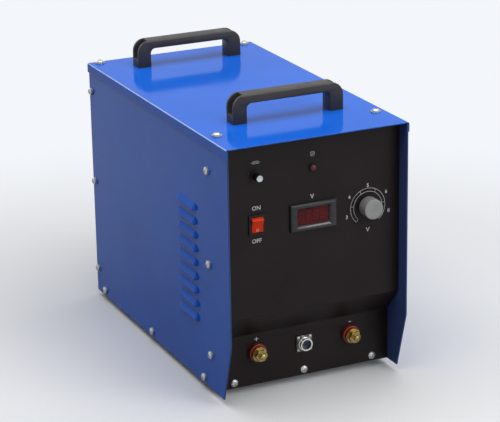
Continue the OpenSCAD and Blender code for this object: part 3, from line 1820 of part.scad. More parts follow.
base_pan();
feet();
foot_screws();
side_panel_left();
side_panel_right();
top_cover();
front_panel();
rear_panel();
case_screws();
case_washers();
case_nuts();
handle_front();
handle_rear();
handle_screws();
switch_housing();
rocker();
switch_tabs();
meter_case();
meter_window();
meter_display();
lamp_bezel();
lamp_lens();
fuse_body();
fuse_link();
fuse_cap();
fuse_cap_end();
pot_body();
pot_shaft();
knob();
knob_screw();
panel_nuts();
terminal_bushes();
terminal_studs();
stud_nuts();
left_washer();
left_nut();
right_washer();
right_nut();
socket_shell();
socket_insert();
socket_pins();
socket_screws();
gland_body();
gland_cap();
gland_seal();
earth_stud();
capacitors();
capacitor_clamps();
bus_bars();
transformer_core();
transformer_coil();
heat_sink();
thyristor();
rectifier();
control_board();
board_parts();
board_posts();
straps();
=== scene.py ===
# %% [markdown]
# # Dressing a stud welder
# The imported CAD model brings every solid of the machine: the folded case, the
# handles, the controls, the clamp terminals and what sits inside. This lesson
# gives each of them its finish, and models the small things that CAD leaves
# out: printed scale, digits behind the meter's window, softened plastic edges.

# %% Load the CAD model as a fixed frame
import json
import math

import bmesh
import bpy
from mathutils import Matrix, Vector

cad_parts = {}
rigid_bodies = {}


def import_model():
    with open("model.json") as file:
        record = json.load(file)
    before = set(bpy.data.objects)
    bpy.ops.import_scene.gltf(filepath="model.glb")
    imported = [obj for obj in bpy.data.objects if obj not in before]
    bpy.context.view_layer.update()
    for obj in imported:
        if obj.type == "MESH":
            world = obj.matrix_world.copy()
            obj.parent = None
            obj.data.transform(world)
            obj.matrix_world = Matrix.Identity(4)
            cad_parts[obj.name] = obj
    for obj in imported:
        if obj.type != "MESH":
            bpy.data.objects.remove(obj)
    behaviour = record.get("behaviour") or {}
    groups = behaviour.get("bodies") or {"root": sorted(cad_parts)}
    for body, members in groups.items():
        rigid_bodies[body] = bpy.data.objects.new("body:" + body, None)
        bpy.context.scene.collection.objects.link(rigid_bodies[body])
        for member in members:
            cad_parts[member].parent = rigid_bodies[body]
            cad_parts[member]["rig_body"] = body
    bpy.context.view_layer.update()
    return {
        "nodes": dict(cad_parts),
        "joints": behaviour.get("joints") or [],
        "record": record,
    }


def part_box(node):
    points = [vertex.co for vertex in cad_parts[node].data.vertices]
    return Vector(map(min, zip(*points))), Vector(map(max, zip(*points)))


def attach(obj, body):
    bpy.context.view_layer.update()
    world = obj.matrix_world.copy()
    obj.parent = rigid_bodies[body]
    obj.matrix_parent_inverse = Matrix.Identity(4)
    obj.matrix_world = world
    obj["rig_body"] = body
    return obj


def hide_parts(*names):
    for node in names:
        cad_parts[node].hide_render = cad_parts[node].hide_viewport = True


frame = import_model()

nodes = frame["nodes"]
mm = 0.001

# %% [markdown]
# ## Camera
# The machine was seen from its front left corner, a little from above, and from
# about three metres away. A long lens at that distance keeps the upright edges
# nearly parallel. The three axes of the camera are built from its turn, its
# tilt and its small roll, because that is exactly how it was measured.

# %% Camera
turn, tilt, roll = math.radians(-24.895), math.radians(18.994), math.radians(-0.979)
camera_at = Vector((-1.3032, -2.8503, 1.2858))
sensor, focal_length, sight = 36, 148.68, 50

level = Vector((math.cos(turn), math.sin(turn), 0))
away = Vector((math.sin(turn), -math.cos(turn), 0))
back = away * math.cos(tilt) + Vector((0, 0, math.sin(tilt)))
upright = back.cross(level)
right = level * math.cos(roll) + upright * math.sin(roll)
up = upright * math.cos(roll) - level * math.sin(roll)

lens = bpy.data.cameras.new("camera")
lens.sensor_width = sensor
lens.lens = focal_length
lens.clip_end = sight
camera = bpy.data.objects.new("camera", lens)
bpy.context.scene.collection.objects.link(camera)
axes = Matrix((right, up, back)).transposed()
camera.matrix_world = Matrix.Translation(camera_at) @ axes.to_4x4()
bpy.context.scene.camera = camera
print("camera at", [round(v, 3) for v in camera.location])

# %% [markdown]
# ## Studio
# A pale floor, one wide softbox overhead, a smaller one in front and an even
# room light are all that a painted case needs. The front lamp stands to the
# right, so that the left side falls into half shade and its louvres catch the
# light from above. A small lamp behind brightens the line along the folds, and
# the cover's finish adds a painted highlight there.

# %% Floor
floor_size = 14


def nothing_selected():
    if bpy.context.mode != "OBJECT":
        bpy.ops.object.mode_set(mode="OBJECT")
    bpy.ops.object.select_all(action="DESELECT")


nothing_selected()
bpy.ops.mesh.primitive_plane_add(size=floor_size, location=(0, 0, 0))
floor = bpy.context.object
floor.name = "floor"
print("floor", floor.dimensions.x, "m wide")


# %% Lamps
def area_lamp(name, wide, deep, watts, at, aim=None):
    """A soft rectangular lamp at one place, looking down or along its aim."""
    light = bpy.data.lights.new(name, "AREA")
    light.shape = "RECTANGLE"
    light.size, light.size_y = wide, deep
    light.energy = watts
    lamp = bpy.data.objects.new(name, light)
    bpy.context.scene.collection.objects.link(lamp)
    lamp.location = at
    if aim:
        lamp.rotation_euler = Vector(aim).to_track_quat("-Z", "Y").to_euler()
    print(name, watts, "W")


area_lamp("softbox", 3.2, 2.6, 62, (-0.15, -0.4, 2.6))
area_lamp("fill", 1.8, 1.6, 34, (1.5, -2.7, 1.7), (-1.5, 2.7, -1.45))
area_lamp("rim", 1.0, 0.5, 10, (-1.15, 2.6, 1.6), (1.0, -2.6, -1.2))

# %% [markdown]
# ## Working with nodes
# The room and every finish are small networks of nodes. Setting sockets and
# drawing links by hand takes a line each, so two helpers shorten that. Two more
# make the commonest links: a noise in one place, and tones spread over a value.


# %% Node helpers
def add(owner, kind, **inputs):
    """A node of one kind, with some of its sockets set."""
    made = owner.node_tree.nodes.new("ShaderNode" + kind)
    for socket, value in inputs.items():
        made.inputs[socket.replace("_", " ")].default_value = value
    return made


def wire(owner, a, out_name, b, in_name):
    owner.node_tree.links.new(a.outputs[out_name], b.inputs[in_name])


def noise(mat, place, scale, detail):
    made = add(mat, "TexNoise", Scale=scale, Detail=detail)
    wire(mat, place, "Vector", made, "Vector")
    return made


def tones(mat, source, out_name, stops):
    """A colour ramp over a source between 0 and 1."""
    ramp = add(mat, "ValToRGB")
    points = ramp.color_ramp.elements
    while len(points) < len(stops):
        points.new(0.5)
    for point, (at, rgb) in zip(points, stops):
        point.position = at
        point.color = (*rgb, 1)
    wire(mat, source, out_name, ramp, "Fac")
    return ramp


print("node helpers ready")

# %% [markdown]
# ## Room
# What the camera, the metal and the glass see behind the machine is a plain
# pale wall, and it comes from the world's colour alone. The Light Path node
# tells such rays apart, so the wall adds no light: a dim room light does that.


# %% Room
def larger(owner, a, a_out, b, b_out):
    made = add(owner, "Math")
    made.operation = "MAXIMUM"
    wire(owner, a, a_out, made, 0)
    wire(owner, b, b_out, made, 1)
    return made


def looked_along(owner):
    """1 for rays that show a picture: straight, in a mirror or through glass."""
    rays = add(owner, "LightPath")
    mirrored = larger(owner, rays, "Is Camera Ray", rays, "Is Glossy Ray")
    return larger(owner, mirrored, "Value", rays, "Is Transmission Ray")


world = bpy.data.worlds.new("room")
bpy.context.scene.world = world
world.use_nodes = True
world.node_tree.nodes.clear()
room = add(world, "Background", Color=(0.9, 0.95, 1, 1), Strength=0.10)
wall = add(world, "Background", Color=(0.88, 0.91, 0.95, 1), Strength=1)
mix = add(world, "MixShader")
wire(world, looked_along(world), "Value", mix, "Fac")
wire(world, room, "Background", mix, 1)
wire(world, wall, "Background", mix, 2)
wire(world, mix, "Shader", add(world, "OutputWorld"), "Surface")
bpy.context.scene.view_settings.view_transform = "Standard"
print("room with", len(world.node_tree.nodes), "nodes")

# %% [markdown]
# ## Building finishes from nodes
# Every finish here is a Principled shader fed by noise on Object coordinates:
# one noise drifts the colour, one drifts the roughness, and a fine one makes
# the grain that catches light. Edges are found where the Bevel node's softened
# normal leaves that of the face, and they take on another tone in patches: wear
# mixed with a painted highlight, or painted shade where that tone is darker. A
# painted highlight on a rounded fold goes where the surface leans between
# level and upright.

# %% Edges and folds
noise_low, noise_high = 0.3, 0.7
edge_starts, edge_full = 0.99, 0.8
fold_highlight_lean = [(0.42, (0, 0, 0)), (0.64, (1, 1, 1)), (0.88, (1, 1, 1)), (0.97, (0, 0, 0))]


def over(mat, factor, under, top):
    """Lay a colour over another by a factor; top is a plain colour or a socket."""
    blend = add(mat, "Mix")
    blend.data_type = "RGBA"
    links = mat.node_tree.links
    links.new(factor, blend.inputs[0])
    links.new(under, blend.inputs[6])
    if isinstance(top, tuple):
        blend.inputs[7].default_value = (*top, 1)
    else:
        links.new(top, blend.inputs[7])
    return blend.outputs[2]


def spread(mat, source, out_name, low, high):
    """Map a value from low to high onto 0 to 1."""
    span = add(mat, "MapRange", From_Min=low, From_Max=high)
    wire(mat, source, out_name, span, "Value")
    return span


def edge_wear_and_light(mat, soft, patch):
    lean = add(mat, "VectorMath")
    lean.operation = "DOT_PRODUCT"
    wire(mat, soft, "Normal", lean, 0)
    wire(mat, add(mat, "NewGeometry"), "Normal", lean, 1)
    edge_share = spread(mat, lean, "Value", edge_starts, edge_full)
    edge_patch_share = add(mat, "Math")
    edge_patch_share.operation = "MULTIPLY"
    wire(mat, edge_share, "Result", edge_patch_share, 0)
    wire(mat, patch, "Fac", edge_patch_share, 1)
    return edge_patch_share.outputs["Value"]


def fold_highlight_share(mat, spot):
    leaning = add(mat, "SeparateXYZ")
    wire(mat, spot, "Normal", leaning, "Vector")
    return tones(mat, leaning, "Z", fold_highlight_lean).outputs["Color"]


print("edge and fold helpers ready")

# %% [markdown]
# The common recipe takes a darker and a lighter tone, the two ends of the
# roughness, and the size and depth of the surface grain. `stretch` pulls the
# noise out along one axis, as brushing or turning does on metal. `edge` is the
# tone of edges, wear mixed with a painted highlight or painted shade, and
# `fold_highlight` is a painted highlight on rounded folds; both can be left out.

# %% The common recipe
finishes = {}
cloud_detail, patch_detail, grain_detail = 4.0, 5.0, 2.0
patch_finer, bevel_samples = 2.3, 4


def finish(name, dark, light, rough, metallic=0.0, drift=18.0, grain=900.0, depth=0.02,
           stretch=(1, 1, 1), edge=None, edge_r=0.5 * mm, fold_highlight=None, **sockets):
    mat = bpy.data.materials.new(name)
    mat.use_nodes = True
    shader = mat.node_tree.nodes["Principled BSDF"]
    shader.inputs["Metallic"].default_value = metallic
    for socket, value in sockets.items():
        shader.inputs[socket.replace("_", " ")].default_value = value
    spot = add(mat, "TexCoord")
    place = add(mat, "Mapping", Scale=stretch)
    wire(mat, spot, "Object", place, "Vector")

    cloud = noise(mat, place, drift, cloud_detail)
    colour = tones(mat, cloud, "Fac", [(noise_low, dark), (noise_high, light)]).outputs["Color"]
    patch = noise(mat, place, drift * patch_finer, patch_detail)
    polish = spread(mat, patch, "Fac", noise_low, noise_high)
    polish.inputs["To Min"].default_value, polish.inputs["To Max"].default_value = rough
    wire(mat, polish, "Result", shader, "Roughness")

    soft = add(mat, "Bevel", Radius=edge_r)
    soft.samples = bevel_samples
    bump = add(mat, "Bump", Strength=1.0, Distance=depth * mm)
    wire(mat, noise(mat, place, grain, grain_detail), "Fac", bump, "Height")
    wire(mat, soft, "Normal", bump, "Normal")
    wire(mat, bump, "Normal", shader, "Normal")

    # Edge tone: wear mixed with a painted highlight, or painted shade where darker.
    if edge:
        colour = over(mat, edge_wear_and_light(mat, soft, patch), colour, edge)
    # Painted highlight along rounded folds.
    if fold_highlight:
        colour = over(mat, fold_highlight_share(mat, spot), colour, fold_highlight)
    mat.node_tree.links.new(colour, shader.inputs["Base Color"])
    finishes[name] = mat
    return mat


print("recipe ready")

# %% [markdown]
# ## Paints
# The case is sprayed in a glossy blue enamel. Such paint is never quite level:
# a fine orange peel breaks up the reflections. Its edges get a paler line, a
# painted highlight. The cover has the same paint, with a brighter painted
# highlight on its edges and a pale painted highlight along its long folds. The
# front panel is a black semi-gloss powder coat with a much finer grain, and its
# edges are a little paler: wear with a painted highlight.

# %% Paints
enamel = dict(dark=(0.007, 0.128, 0.69), light=(0.011, 0.152, 0.78), rough=(0.07, 0.13),
              drift=6, grain=260, depth=0.012)
# Paler edges: a painted highlight.
finish("blue_paint", **enamel, edge=(0.25, 0.38, 0.82), edge_r=0.7 * mm,
       Specular_IOR_Level=0.08)
# Brighter painted highlight on the edges, pale painted highlight on the folds.
finish("cover_paint", **enamel, edge=(0.55, 0.72, 1.0), edge_r=0.7 * mm,
       fold_highlight=(0.42, 0.58, 0.92), Specular_IOR_Level=0.05)
finish("black_paint", (0.0130, 0.0084, 0.0087), (0.0196, 0.0134, 0.0138), (0.36, 0.46),
       drift=14, grain=1700, depth=0.03, edge=(0.075, 0.07, 0.068), Specular_IOR_Level=0.16)
print("finishes so far:", len(finishes))

# %% [markdown]
# ## Metals
# Screws and nuts are plated steel, the outlets are brass, the socket is nickel
# plated. Plating drifts a little in colour and polish, so both follow noise.
# Sheet zinc gets a larger, cloudier drift, which stands for its spangle.

# %% Metals
finish("screw_steel", (0.46, 0.46, 0.45), (0.62, 0.62, 0.60), (0.2, 0.34), 0.6,
       drift=160, grain=1200)
finish("washer_steel", (0.32, 0.32, 0.31), (0.45, 0.45, 0.43), (0.32, 0.46), 0.35,
       drift=160, grain=1200)
finish("nut_steel", (0.42, 0.42, 0.43), (0.58, 0.58, 0.59), (0.32, 0.46), 1,
       drift=140, grain=1400)
finish("zinc_sheet", (0.40, 0.41, 0.43), (0.56, 0.57, 0.58), (0.34, 0.5), 1,
       drift=70, grain=500)
finish("nickel", (0.56, 0.55, 0.53), (0.72, 0.71, 0.68), (0.16, 0.3), 1,
       drift=120, grain=1500, stretch=(1, 6, 1))
# Brass edges get a paler tone: a painted highlight, with wear.
finish("brass", (0.23, 0.168, 0.060), (0.37, 0.285, 0.115), (0.2, 0.36), 1,
       drift=130, grain=1500, edge=(0.70, 0.56, 0.30), edge_r=0.3 * mm)
# Dark pin metal: painted shade inside the socket.
finish("shaded_pin_metal", (0.09, 0.095, 0.11), (0.15, 0.155, 0.17), (0.3, 0.42), 1,
       drift=130, grain=1500)
finish("copper", (0.55, 0.24, 0.12), (0.75, 0.38, 0.22), (0.28, 0.45), 1,
       drift=60, grain=1100)
finish("aluminium", (0.55, 0.56, 0.57), (0.70, 0.71, 0.72), (0.3, 0.42), 1,
       drift=90, grain=900, stretch=(1, 0.08, 1))
finish("core_steel", (0.10, 0.10, 0.11), (0.24, 0.24, 0.25), (0.45, 0.6), 1,
       drift=90, grain=1400, stretch=(0.1, 14, 0.1), depth=0.2)
print("finishes so far:", len(finishes))

# %% [markdown]
# ## Plastics, rubber and board
# Moulded parts carry the fine texture of their moulds. Shiny ones, such as the
# rocker and the lamp's lens, keep a smooth skin; handles and bezels are grained.
# The edges of handles, bezels, black parts, knob and bushes are paler: wear with
# a painted highlight.

# %% Plastics
finish("handle_plastic", (0.026, 0.022, 0.019), (0.040, 0.035, 0.031), (0.4, 0.54),
       drift=30, grain=1500, depth=0.05, edge=(0.12, 0.112, 0.105), edge_r=0.8 * mm,
       Specular_IOR_Level=0.4)
finish("black_plastic", (0.008, 0.008, 0.009), (0.016, 0.016, 0.017), (0.3, 0.42),
       drift=60, grain=1800, depth=0.03, edge=(0.05, 0.05, 0.052), edge_r=0.3 * mm,
       Specular_IOR_Level=0.2)
finish("bezel_plastic", (0.030, 0.030, 0.031), (0.044, 0.044, 0.046), (0.24, 0.34),
       drift=40, grain=1800, depth=0.015, edge=(0.13, 0.13, 0.135), edge_r=0.4 * mm,
       Specular_IOR_Level=0.3)
finish("rocker_plastic", (0.84, 0.036, 0.004), (0.97, 0.052, 0.006), (0.2, 0.3),
       drift=80, grain=900, depth=0.006, Specular_IOR_Level=0.14)
finish("lens_plastic", (0.085, 0.011, 0.014), (0.140, 0.018, 0.023), (0.10, 0.16),
       drift=150, grain=700, depth=0.004, Specular_IOR_Level=0.35)
# Paler rim: a painted highlight with wear.
finish("knob_plastic", (0.34, 0.34, 0.335), (0.44, 0.44, 0.43), (0.34, 0.46),
       drift=70, grain=1600, depth=0.03, edge=(0.62, 0.62, 0.61), edge_r=0.35 * mm)
finish("bush_plastic", (0.24, 0.019, 0.010), (0.33, 0.028, 0.015), (0.28, 0.4),
       drift=70, grain=1500, depth=0.02, edge=(0.55, 0.08, 0.06), edge_r=0.4 * mm)
finish("insert_plastic", (0.007, 0.016, 0.058), (0.012, 0.027, 0.090), (0.3, 0.42),
       drift=90, grain=1600)
print("finishes so far:", len(finishes))

# %% Rubber, sleeves and board
finish("rubber", (0.011, 0.011, 0.011), (0.024, 0.024, 0.024), (0.66, 0.84),
       drift=80, grain=2200, depth=0.06)
finish("capacitor_sleeve", (0.040, 0.070, 0.100), (0.060, 0.096, 0.130), (0.14, 0.24),
       drift=16, grain=400, depth=0.01)
finish("coil_wrap", (0.34, 0.19, 0.06), (0.50, 0.29, 0.10), (0.4, 0.55),
       drift=40, grain=1100, stretch=(1, 1, 8), depth=0.12)
finish("board_green", (0.020, 0.150, 0.060), (0.045, 0.240, 0.110), (0.24, 0.36),
       drift=120, grain=900, depth=0.04)
print("finishes so far:", len(finishes))

# %% [markdown]
# ## Clear pieces
# The meter's window is a red filter: a thin plate of tinted plastic that lets
# the digits behind show dimly. The fuse is a glass tube. Both let light through,
# so Transmission is set on their shaders, with faint flow marks in the surface.

# %% Clear pieces
finish("window_plastic", (0.36, 0.050, 0.060), (0.44, 0.062, 0.074), (0.03, 0.07),
       drift=40, grain=150, depth=0.004, Transmission_Weight=0.8, IOR=1.2)
finish("glass_fuse", (0.78, 0.82, 0.82), (0.90, 0.93, 0.93), (0.02, 0.06),
       drift=120, grain=260, depth=0.004, Transmission_Weight=1.0, IOR=1.5)
print("finishes so far:", len(finishes))

# %% [markdown]
# ## Floor finish
# The floor is a matt, nearly white studio board with a barely visible cloud in
# it. Round the machine it keeps the soft shadow; farther out it fades into the
# pale of the wall, as a paper sweep does. Only rays that are looked along see
# it so pale: the light that it throws back at the case is that of a grey board.

# %% Floor finish
shadow_reach, sweep_reach = 0.30, 1.15
board = finish("studio_board", (0.84, 0.85, 0.86), (0.88, 0.885, 0.89), (0.6, 0.75),
               drift=1.2, grain=300, depth=0.01)
lit = board.node_tree.nodes["Principled BSDF"]
paper = add(board, "Emission", Color=(0.90, 0.925, 0.96, 1), Strength=1)
grey = add(board, "BsdfDiffuse", Color=(0.24, 0.24, 0.25, 1))
reach = add(board, "VectorMath")
reach.operation = "LENGTH"
wire(board, add(board, "TexCoord"), "Object", reach, 0)
fade = spread(board, reach, "Value", shadow_reach, sweep_reach)
fade.interpolation_type = "SMOOTHSTEP"
sweep = add(board, "MixShader")
wire(board, fade, "Result", sweep, "Fac")
wire(board, lit, "BSDF", sweep, 1)
wire(board, paper, "Emission", sweep, 2)
shown = add(board, "MixShader")
wire(board, looked_along(board), "Value", shown, "Fac")
wire(board, grey, "BSDF", shown, 1)
wire(board, sweep, "Shader", shown, 2)
wire(board, shown, "Shader", board.node_tree.nodes["Material Output"], "Surface")
floor.data.materials.append(board)
print("floor dressed")

# %% [markdown]
# ## Dressing the CAD nodes
# The record names a material slot for every sub-part. Each finish has the name
# of its slot, so one loop dresses the whole machine, inside and out. Then four
# nodes get another finish than their slot's: the cover with painted highlights
# on its edges and folds, the dull washers, the socket's pins darkened as painted
# shade and the metal end of the fuse's cap.


# %% Dress the CAD nodes
def dress(node, mat):
    if not node.material_slots:
        node.data.materials.append(None)
    for place in node.material_slots:
        place.material = mat


for part in frame["record"]["subparts"]:
    dress(nodes[part["node"]], finishes[part["material_slot"]])
dress(nodes["top_cover"], finishes["cover_paint"])
dress(nodes["case_washers"], finishes["washer_steel"])
# The pins are darkened: painted shade inside the socket.
dress(nodes["socket_pins"], finishes["shaded_pin_metal"])
dress(nodes["fuse_cap_end"], finishes["nut_steel"])

# %% [markdown]
# The inside of a folded panel and its cut front edge get a duller, darker blue:
# painted shade. On an inner face the normal looks
# back at the middle of the case, so place times normal along X is below zero. On
# the front edge, place times normal along Y is larger than anywhere else. The
# other edges of the panel get a dark tone over a wider strip: painted shade
# along louvres, holes and edges.

# %% Side panels
# Painted shade on the inner faces and the front edge.
shade_blue = (0.069, 0.12, 0.336)
shaded_zones = [("X", -60 * mm, -120 * mm), ("Y", 222 * mm, 232 * mm)]
panel_paint = finish("panel_paint", **enamel, edge=(0.010, 0.030, 0.110), edge_r=1.8 * mm,
                     Specular_IOR_Level=0.08)
panel_colour = panel_paint.node_tree.nodes["Principled BSDF"].inputs["Base Color"]
sprayed = panel_colour.links[0].from_socket
spot = add(panel_paint, "TexCoord")
place, facing = add(panel_paint, "SeparateXYZ"), add(panel_paint, "SeparateXYZ")
wire(panel_paint, spot, "Object", place, "Vector")
wire(panel_paint, spot, "Normal", facing, "Vector")
shares = []
for axis, none_at, full_at in shaded_zones:
    outward = add(panel_paint, "Math")
    outward.operation = "MULTIPLY"
    wire(panel_paint, place, axis, outward, 0)
    wire(panel_paint, facing, axis, outward, 1)
    shares.append(spread(panel_paint, outward, "Value", none_at, full_at))
shaded = larger(panel_paint, shares[0], "Result", shares[1], "Result")
# Lay the painted shade over the enamel.
shaded_colour = over(panel_paint, shaded.outputs["Value"], sprayed, shade_blue)
panel_paint.node_tree.links.new(shaded_colour, panel_colour)
for side in ("left", "right"):
    dress(nodes["side_panel_" + side], panel_paint)
print("side panels: thin paint in", len(shaded_zones), "zones")

# %% [markdown]
# The control socket's barrel is turned and plated bright, but its square flange
# is a dull, dark casting. Both are one solid, so the finish itself looks at how
# far out a point lies: behind the flange's face it is dark, before it bright.

# %% Control socket
flange_face, flange_blur = -231.9 * mm, 0.3 * mm
cast_dark, cast_light, cast_grain = (0.085, 0.080, 0.068), (0.13, 0.122, 0.105), 300
socket_metal = finish("socket_metal", (0.58, 0.58, 0.57), (0.74, 0.74, 0.72), (0.14, 0.26), 1,
                      drift=120, grain=1500)
base_colour = socket_metal.node_tree.nodes["Principled BSDF"].inputs["Base Color"]
bright = base_colour.links[0].from_socket
spot = add(socket_metal, "TexCoord")
apart = add(socket_metal, "SeparateXYZ")
wire(socket_metal, spot, "Object", apart, "Vector")
outward = spread(socket_metal, apart, "Y", flange_face, flange_face - flange_blur)
grain = add(socket_metal, "TexNoise", Scale=cast_grain)
wire(socket_metal, spot, "Object", grain, "Vector")
cast = tones(socket_metal, grain, "Fac", [(noise_low, cast_dark), (noise_high, cast_light)])
both = over(socket_metal, outward.outputs["Result"], cast.outputs["Color"], bright)
socket_metal.node_tree.links.new(both, base_colour)
dress(nodes["socket_shell"], socket_metal)
print("socket: dark behind", flange_face, "m")

# %% [markdown]
# ## Handles
# The two bow handles are moulded in one piece, with a pocket for a screw at
# each end. Mouldings have no sharp edges, because the mould needs a radius and
# a hand does too. The CAD handle has the right form, so a copy of it is merged,
# its flat faces are joined again, and all its sharp edges get a bevel.

# %% Rounded copies
merge_within = 0.002 * mm
flat_within, sharp_from, smooth_to = math.radians(0.5), math.radians(28), math.radians(40)


def select_only(obj):
    nothing_selected()
    obj.select_set(True)
    bpy.context.view_layer.objects.active = obj


def edit(obj):
    select_only(obj)
    bpy.ops.object.mode_set(mode="EDIT")


def rounded_copy(node_name, piece_name, radius, segments):
    obj = bpy.data.objects.new(piece_name, nodes[node_name].data.copy())
    bpy.context.scene.collection.objects.link(obj)
    edit(obj)
    bpy.ops.mesh.customdata_custom_splitnormals_clear()
    bpy.ops.mesh.select_all(action="SELECT")
    bpy.ops.mesh.remove_doubles(threshold=merge_within)
    bpy.ops.mesh.dissolve_limited(angle_limit=flat_within)
    bpy.ops.mesh.select_all(action="DESELECT")
    bpy.ops.mesh.select_mode(type="EDGE")
    bpy.ops.mesh.edges_select_sharp(sharpness=sharp_from)
    bpy.ops.mesh.bevel(offset=radius, segments=segments, profile=0.5, clamp_overlap=True)
    bpy.ops.object.mode_set(mode="OBJECT")
    bpy.ops.object.shade_smooth_by_angle(angle=smooth_to)
    obj.material_slots[0].material = nodes[node_name].material_slots[0].material
    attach(obj, nodes[node_name]["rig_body"])
    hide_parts(node_name)
    print(piece_name, len(obj.data.polygons), "faces")
    return obj


# %% Handles
for end in ("front", "rear"):
    handle = rounded_copy("handle_" + end, end + "_grip", radius=1.1 * mm, segments=3)

# %% [markdown]
# ## Printed marks
# The panel is screen printed in white: a scale round the knob, numbers, words at
# the switch and small signs. Ink has hardly any thickness, but it is modelled as
# a real film of 0.08 mm, so that it survives any export. Everything is drawn
# flat in X and Y first, as seen from the front, and then stood on the panel.

# %% Ink
finish("white_ink", (0.76, 0.76, 0.75), (0.90, 0.90, 0.89), (0.45, 0.6),
       drift=260, grain=2500, depth=0.01)
upper_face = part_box("front_panel")[0].y
lower_face = -229.3 * mm
ink_gap, ink_film, line, ink_merge = 0.02 * mm, 0.08 * mm, 0.6 * mm, 0.001 * mm
print("ink on the faces at", round(upper_face, 4), "and", round(lower_face, 4), "m")


# %% Helpers for flat drawings
def pick(obj, kind, test):
    """Select only the vertices or faces that pass a test, in edit mode."""
    bpy.ops.mesh.select_all(action="DESELECT")
    bpy.ops.mesh.select_mode(type=kind)
    mesh = bmesh.from_edit_mesh(obj.data)
    for part in {"VERT": mesh.verts, "FACE": mesh.faces}[kind]:
        part.select_set(test(part))
    mesh.select_flush_mode()
    bmesh.update_edit_mesh(obj.data)


def apply_place(obj):
    select_only(obj)
    bpy.ops.object.transform_apply(location=True, rotation=True, scale=True)


def stand_up(obj, x, face_y, z):
    """Stand a flat drawing on an upright face, a hair in front of it."""
    place = Matrix.Translation((x, face_y - ink_gap, z))
    obj.matrix_world = place @ Matrix.Rotation(math.pi / 2, 4, "X")
    apply_place(obj)


def thicken(obj, film):
    select_only(obj)
    solid = obj.modifiers.new("film", "SOLIDIFY")
    solid.thickness = film
    solid.offset = 1
    bpy.ops.object.modifier_apply(modifier=solid.name)


print("drawing helpers ready")


# %% Helpers for finished prints
def join(name, parts):
    nothing_selected()
    for part in parts:
        part.select_set(True)
    bpy.context.view_layer.objects.active = parts[0]
    bpy.ops.object.join()
    parts[0].name = name
    return parts[0]


def close_up(obj):
    """Merge doubles and turn all faces outwards."""
    edit(obj)
    bpy.ops.mesh.select_all(action="SELECT")
    bpy.ops.mesh.remove_doubles(threshold=ink_merge)
    bpy.ops.mesh.normals_make_consistent(inside=False)
    bpy.ops.object.mode_set(mode="OBJECT")


def coat(obj, mat):
    obj.data.materials.clear()
    obj.data.materials.append(mat)


def print_on(obj, body="case"):
    close_up(obj)
    coat(obj, finishes["white_ink"])
    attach(obj, body)
    print(obj.name, len(obj.data.polygons), "faces")


print("printing helpers ready")

# %% [markdown]
# The scale is a band between two thin arcs, closed at its ends and cut into five
# cells. Each arc is a short line, spun round the middle in steps of four degrees;
# each rung is a thin strip between the two arcs. As screen prints often do, this
# one sits a little low of the hole that the knob's shaft comes through.

# %% Strokes
scale_first, scale_turn, cells, arc_steps = -48.0, 276.0, 5, 69
scale_in, scale_out = 24.0 * mm, 29.2 * mm


def ink_arc(radius):
    nothing_selected()
    bpy.ops.mesh.primitive_plane_add(size=line, location=(radius, 0, 0))
    obj = bpy.context.object
    apply_place(obj)
    edit(obj)
    pick(obj, "VERT", lambda v: v.co.y > 0)
    bpy.ops.mesh.delete(type="VERT")
    bpy.ops.mesh.select_all(action="SELECT")
    bpy.ops.transform.translate(value=(0, line / 2, 0))
    bpy.ops.mesh.spin(steps=arc_steps, angle=-math.radians(scale_turn),
                      center=(0, 0, 0), axis=(0, 0, 1))
    bpy.ops.object.mode_set(mode="OBJECT")
    angles = [math.degrees(math.atan2(v.co.y, v.co.x)) % 360 for v in obj.data.vertices]
    print("arc from", round(min(angles)), "to", round(max(angles)), "degrees")
    obj.rotation_euler.z = math.radians(scale_first)
    apply_place(obj)
    return obj


def ink_line(x, y, long, wide, angle=0.0):
    nothing_selected()
    bpy.ops.mesh.primitive_plane_add(size=1)
    obj = bpy.context.object
    obj.scale = (long, wide, 1)
    obj.rotation_euler.z = math.radians(angle)
    obj.location = (x, y, 0)
    apply_place(obj)
    return obj


def ink_rung(angle):
    at = math.radians(angle)
    middle = (scale_in + scale_out) / 2
    return ink_line(middle * math.cos(at), middle * math.sin(at), scale_out - scale_in,
                    line, angle)


print("stroke helpers ready")

# %% Dial scale
knob_x, _, knob_z = next(j["pos_m"] for j in frame["joints"] if j["name"] == "knob_turn")
print_drop = 1.2 * mm
print_z = knob_z - print_drop
strokes = [ink_arc(scale_in), ink_arc(scale_out)]
strokes += [ink_rung(scale_first + i * scale_turn / cells) for i in range(cells + 1)]
dial_scale = join("dial_scale", strokes)
thicken(dial_scale, ink_film)
stand_up(dial_scale, knob_x, upper_face, print_z)
print_on(dial_scale)

# %% [markdown]
# Numbers stand in the middle of the cells, outside the band. Text is the easy
# way to letters, but it has to become a mesh before it is stood up, and its
# parts are merged afterwards like any other print.

# %% Dial numbers
bolder, curve_steps = 0.12 * mm, 3
number_size, numbers_wide, numbers_high = 8 * mm, 38 * mm, 33.5 * mm


def ink_word(word, size, x, y):
    nothing_selected()
    bpy.ops.object.text_add(location=(0, 0, 0))
    obj = bpy.context.object
    obj.data.body = word
    obj.data.size = size
    obj.data.align_x, obj.data.align_y = "CENTER", "CENTER"
    obj.data.offset = bolder
    obj.data.extrude = ink_film / 2
    obj.data.resolution_u = curve_steps
    bpy.ops.object.convert(target="MESH")
    obj = bpy.context.object
    obj.location = (x, y, ink_film / 2)
    apply_place(obj)
    return obj


numbers = []
for i, number in enumerate("86543"):
    at = math.radians(scale_first + (i + 0.5) * scale_turn / cells)
    numbers.append(ink_word(number, number_size, numbers_wide * math.cos(at),
                            numbers_high * math.sin(at)))
dial_numbers = join("dial_numbers", numbers)
stand_up(dial_numbers, knob_x, upper_face, print_z)
print_on(dial_numbers)

# %% [markdown]
# The switch has its two words, the meter and the knob the sign for volts, and
# the outlets their poles. The fuse and the lamp get their circuit signs: a box
# with a line through it, and a ring with a cross.

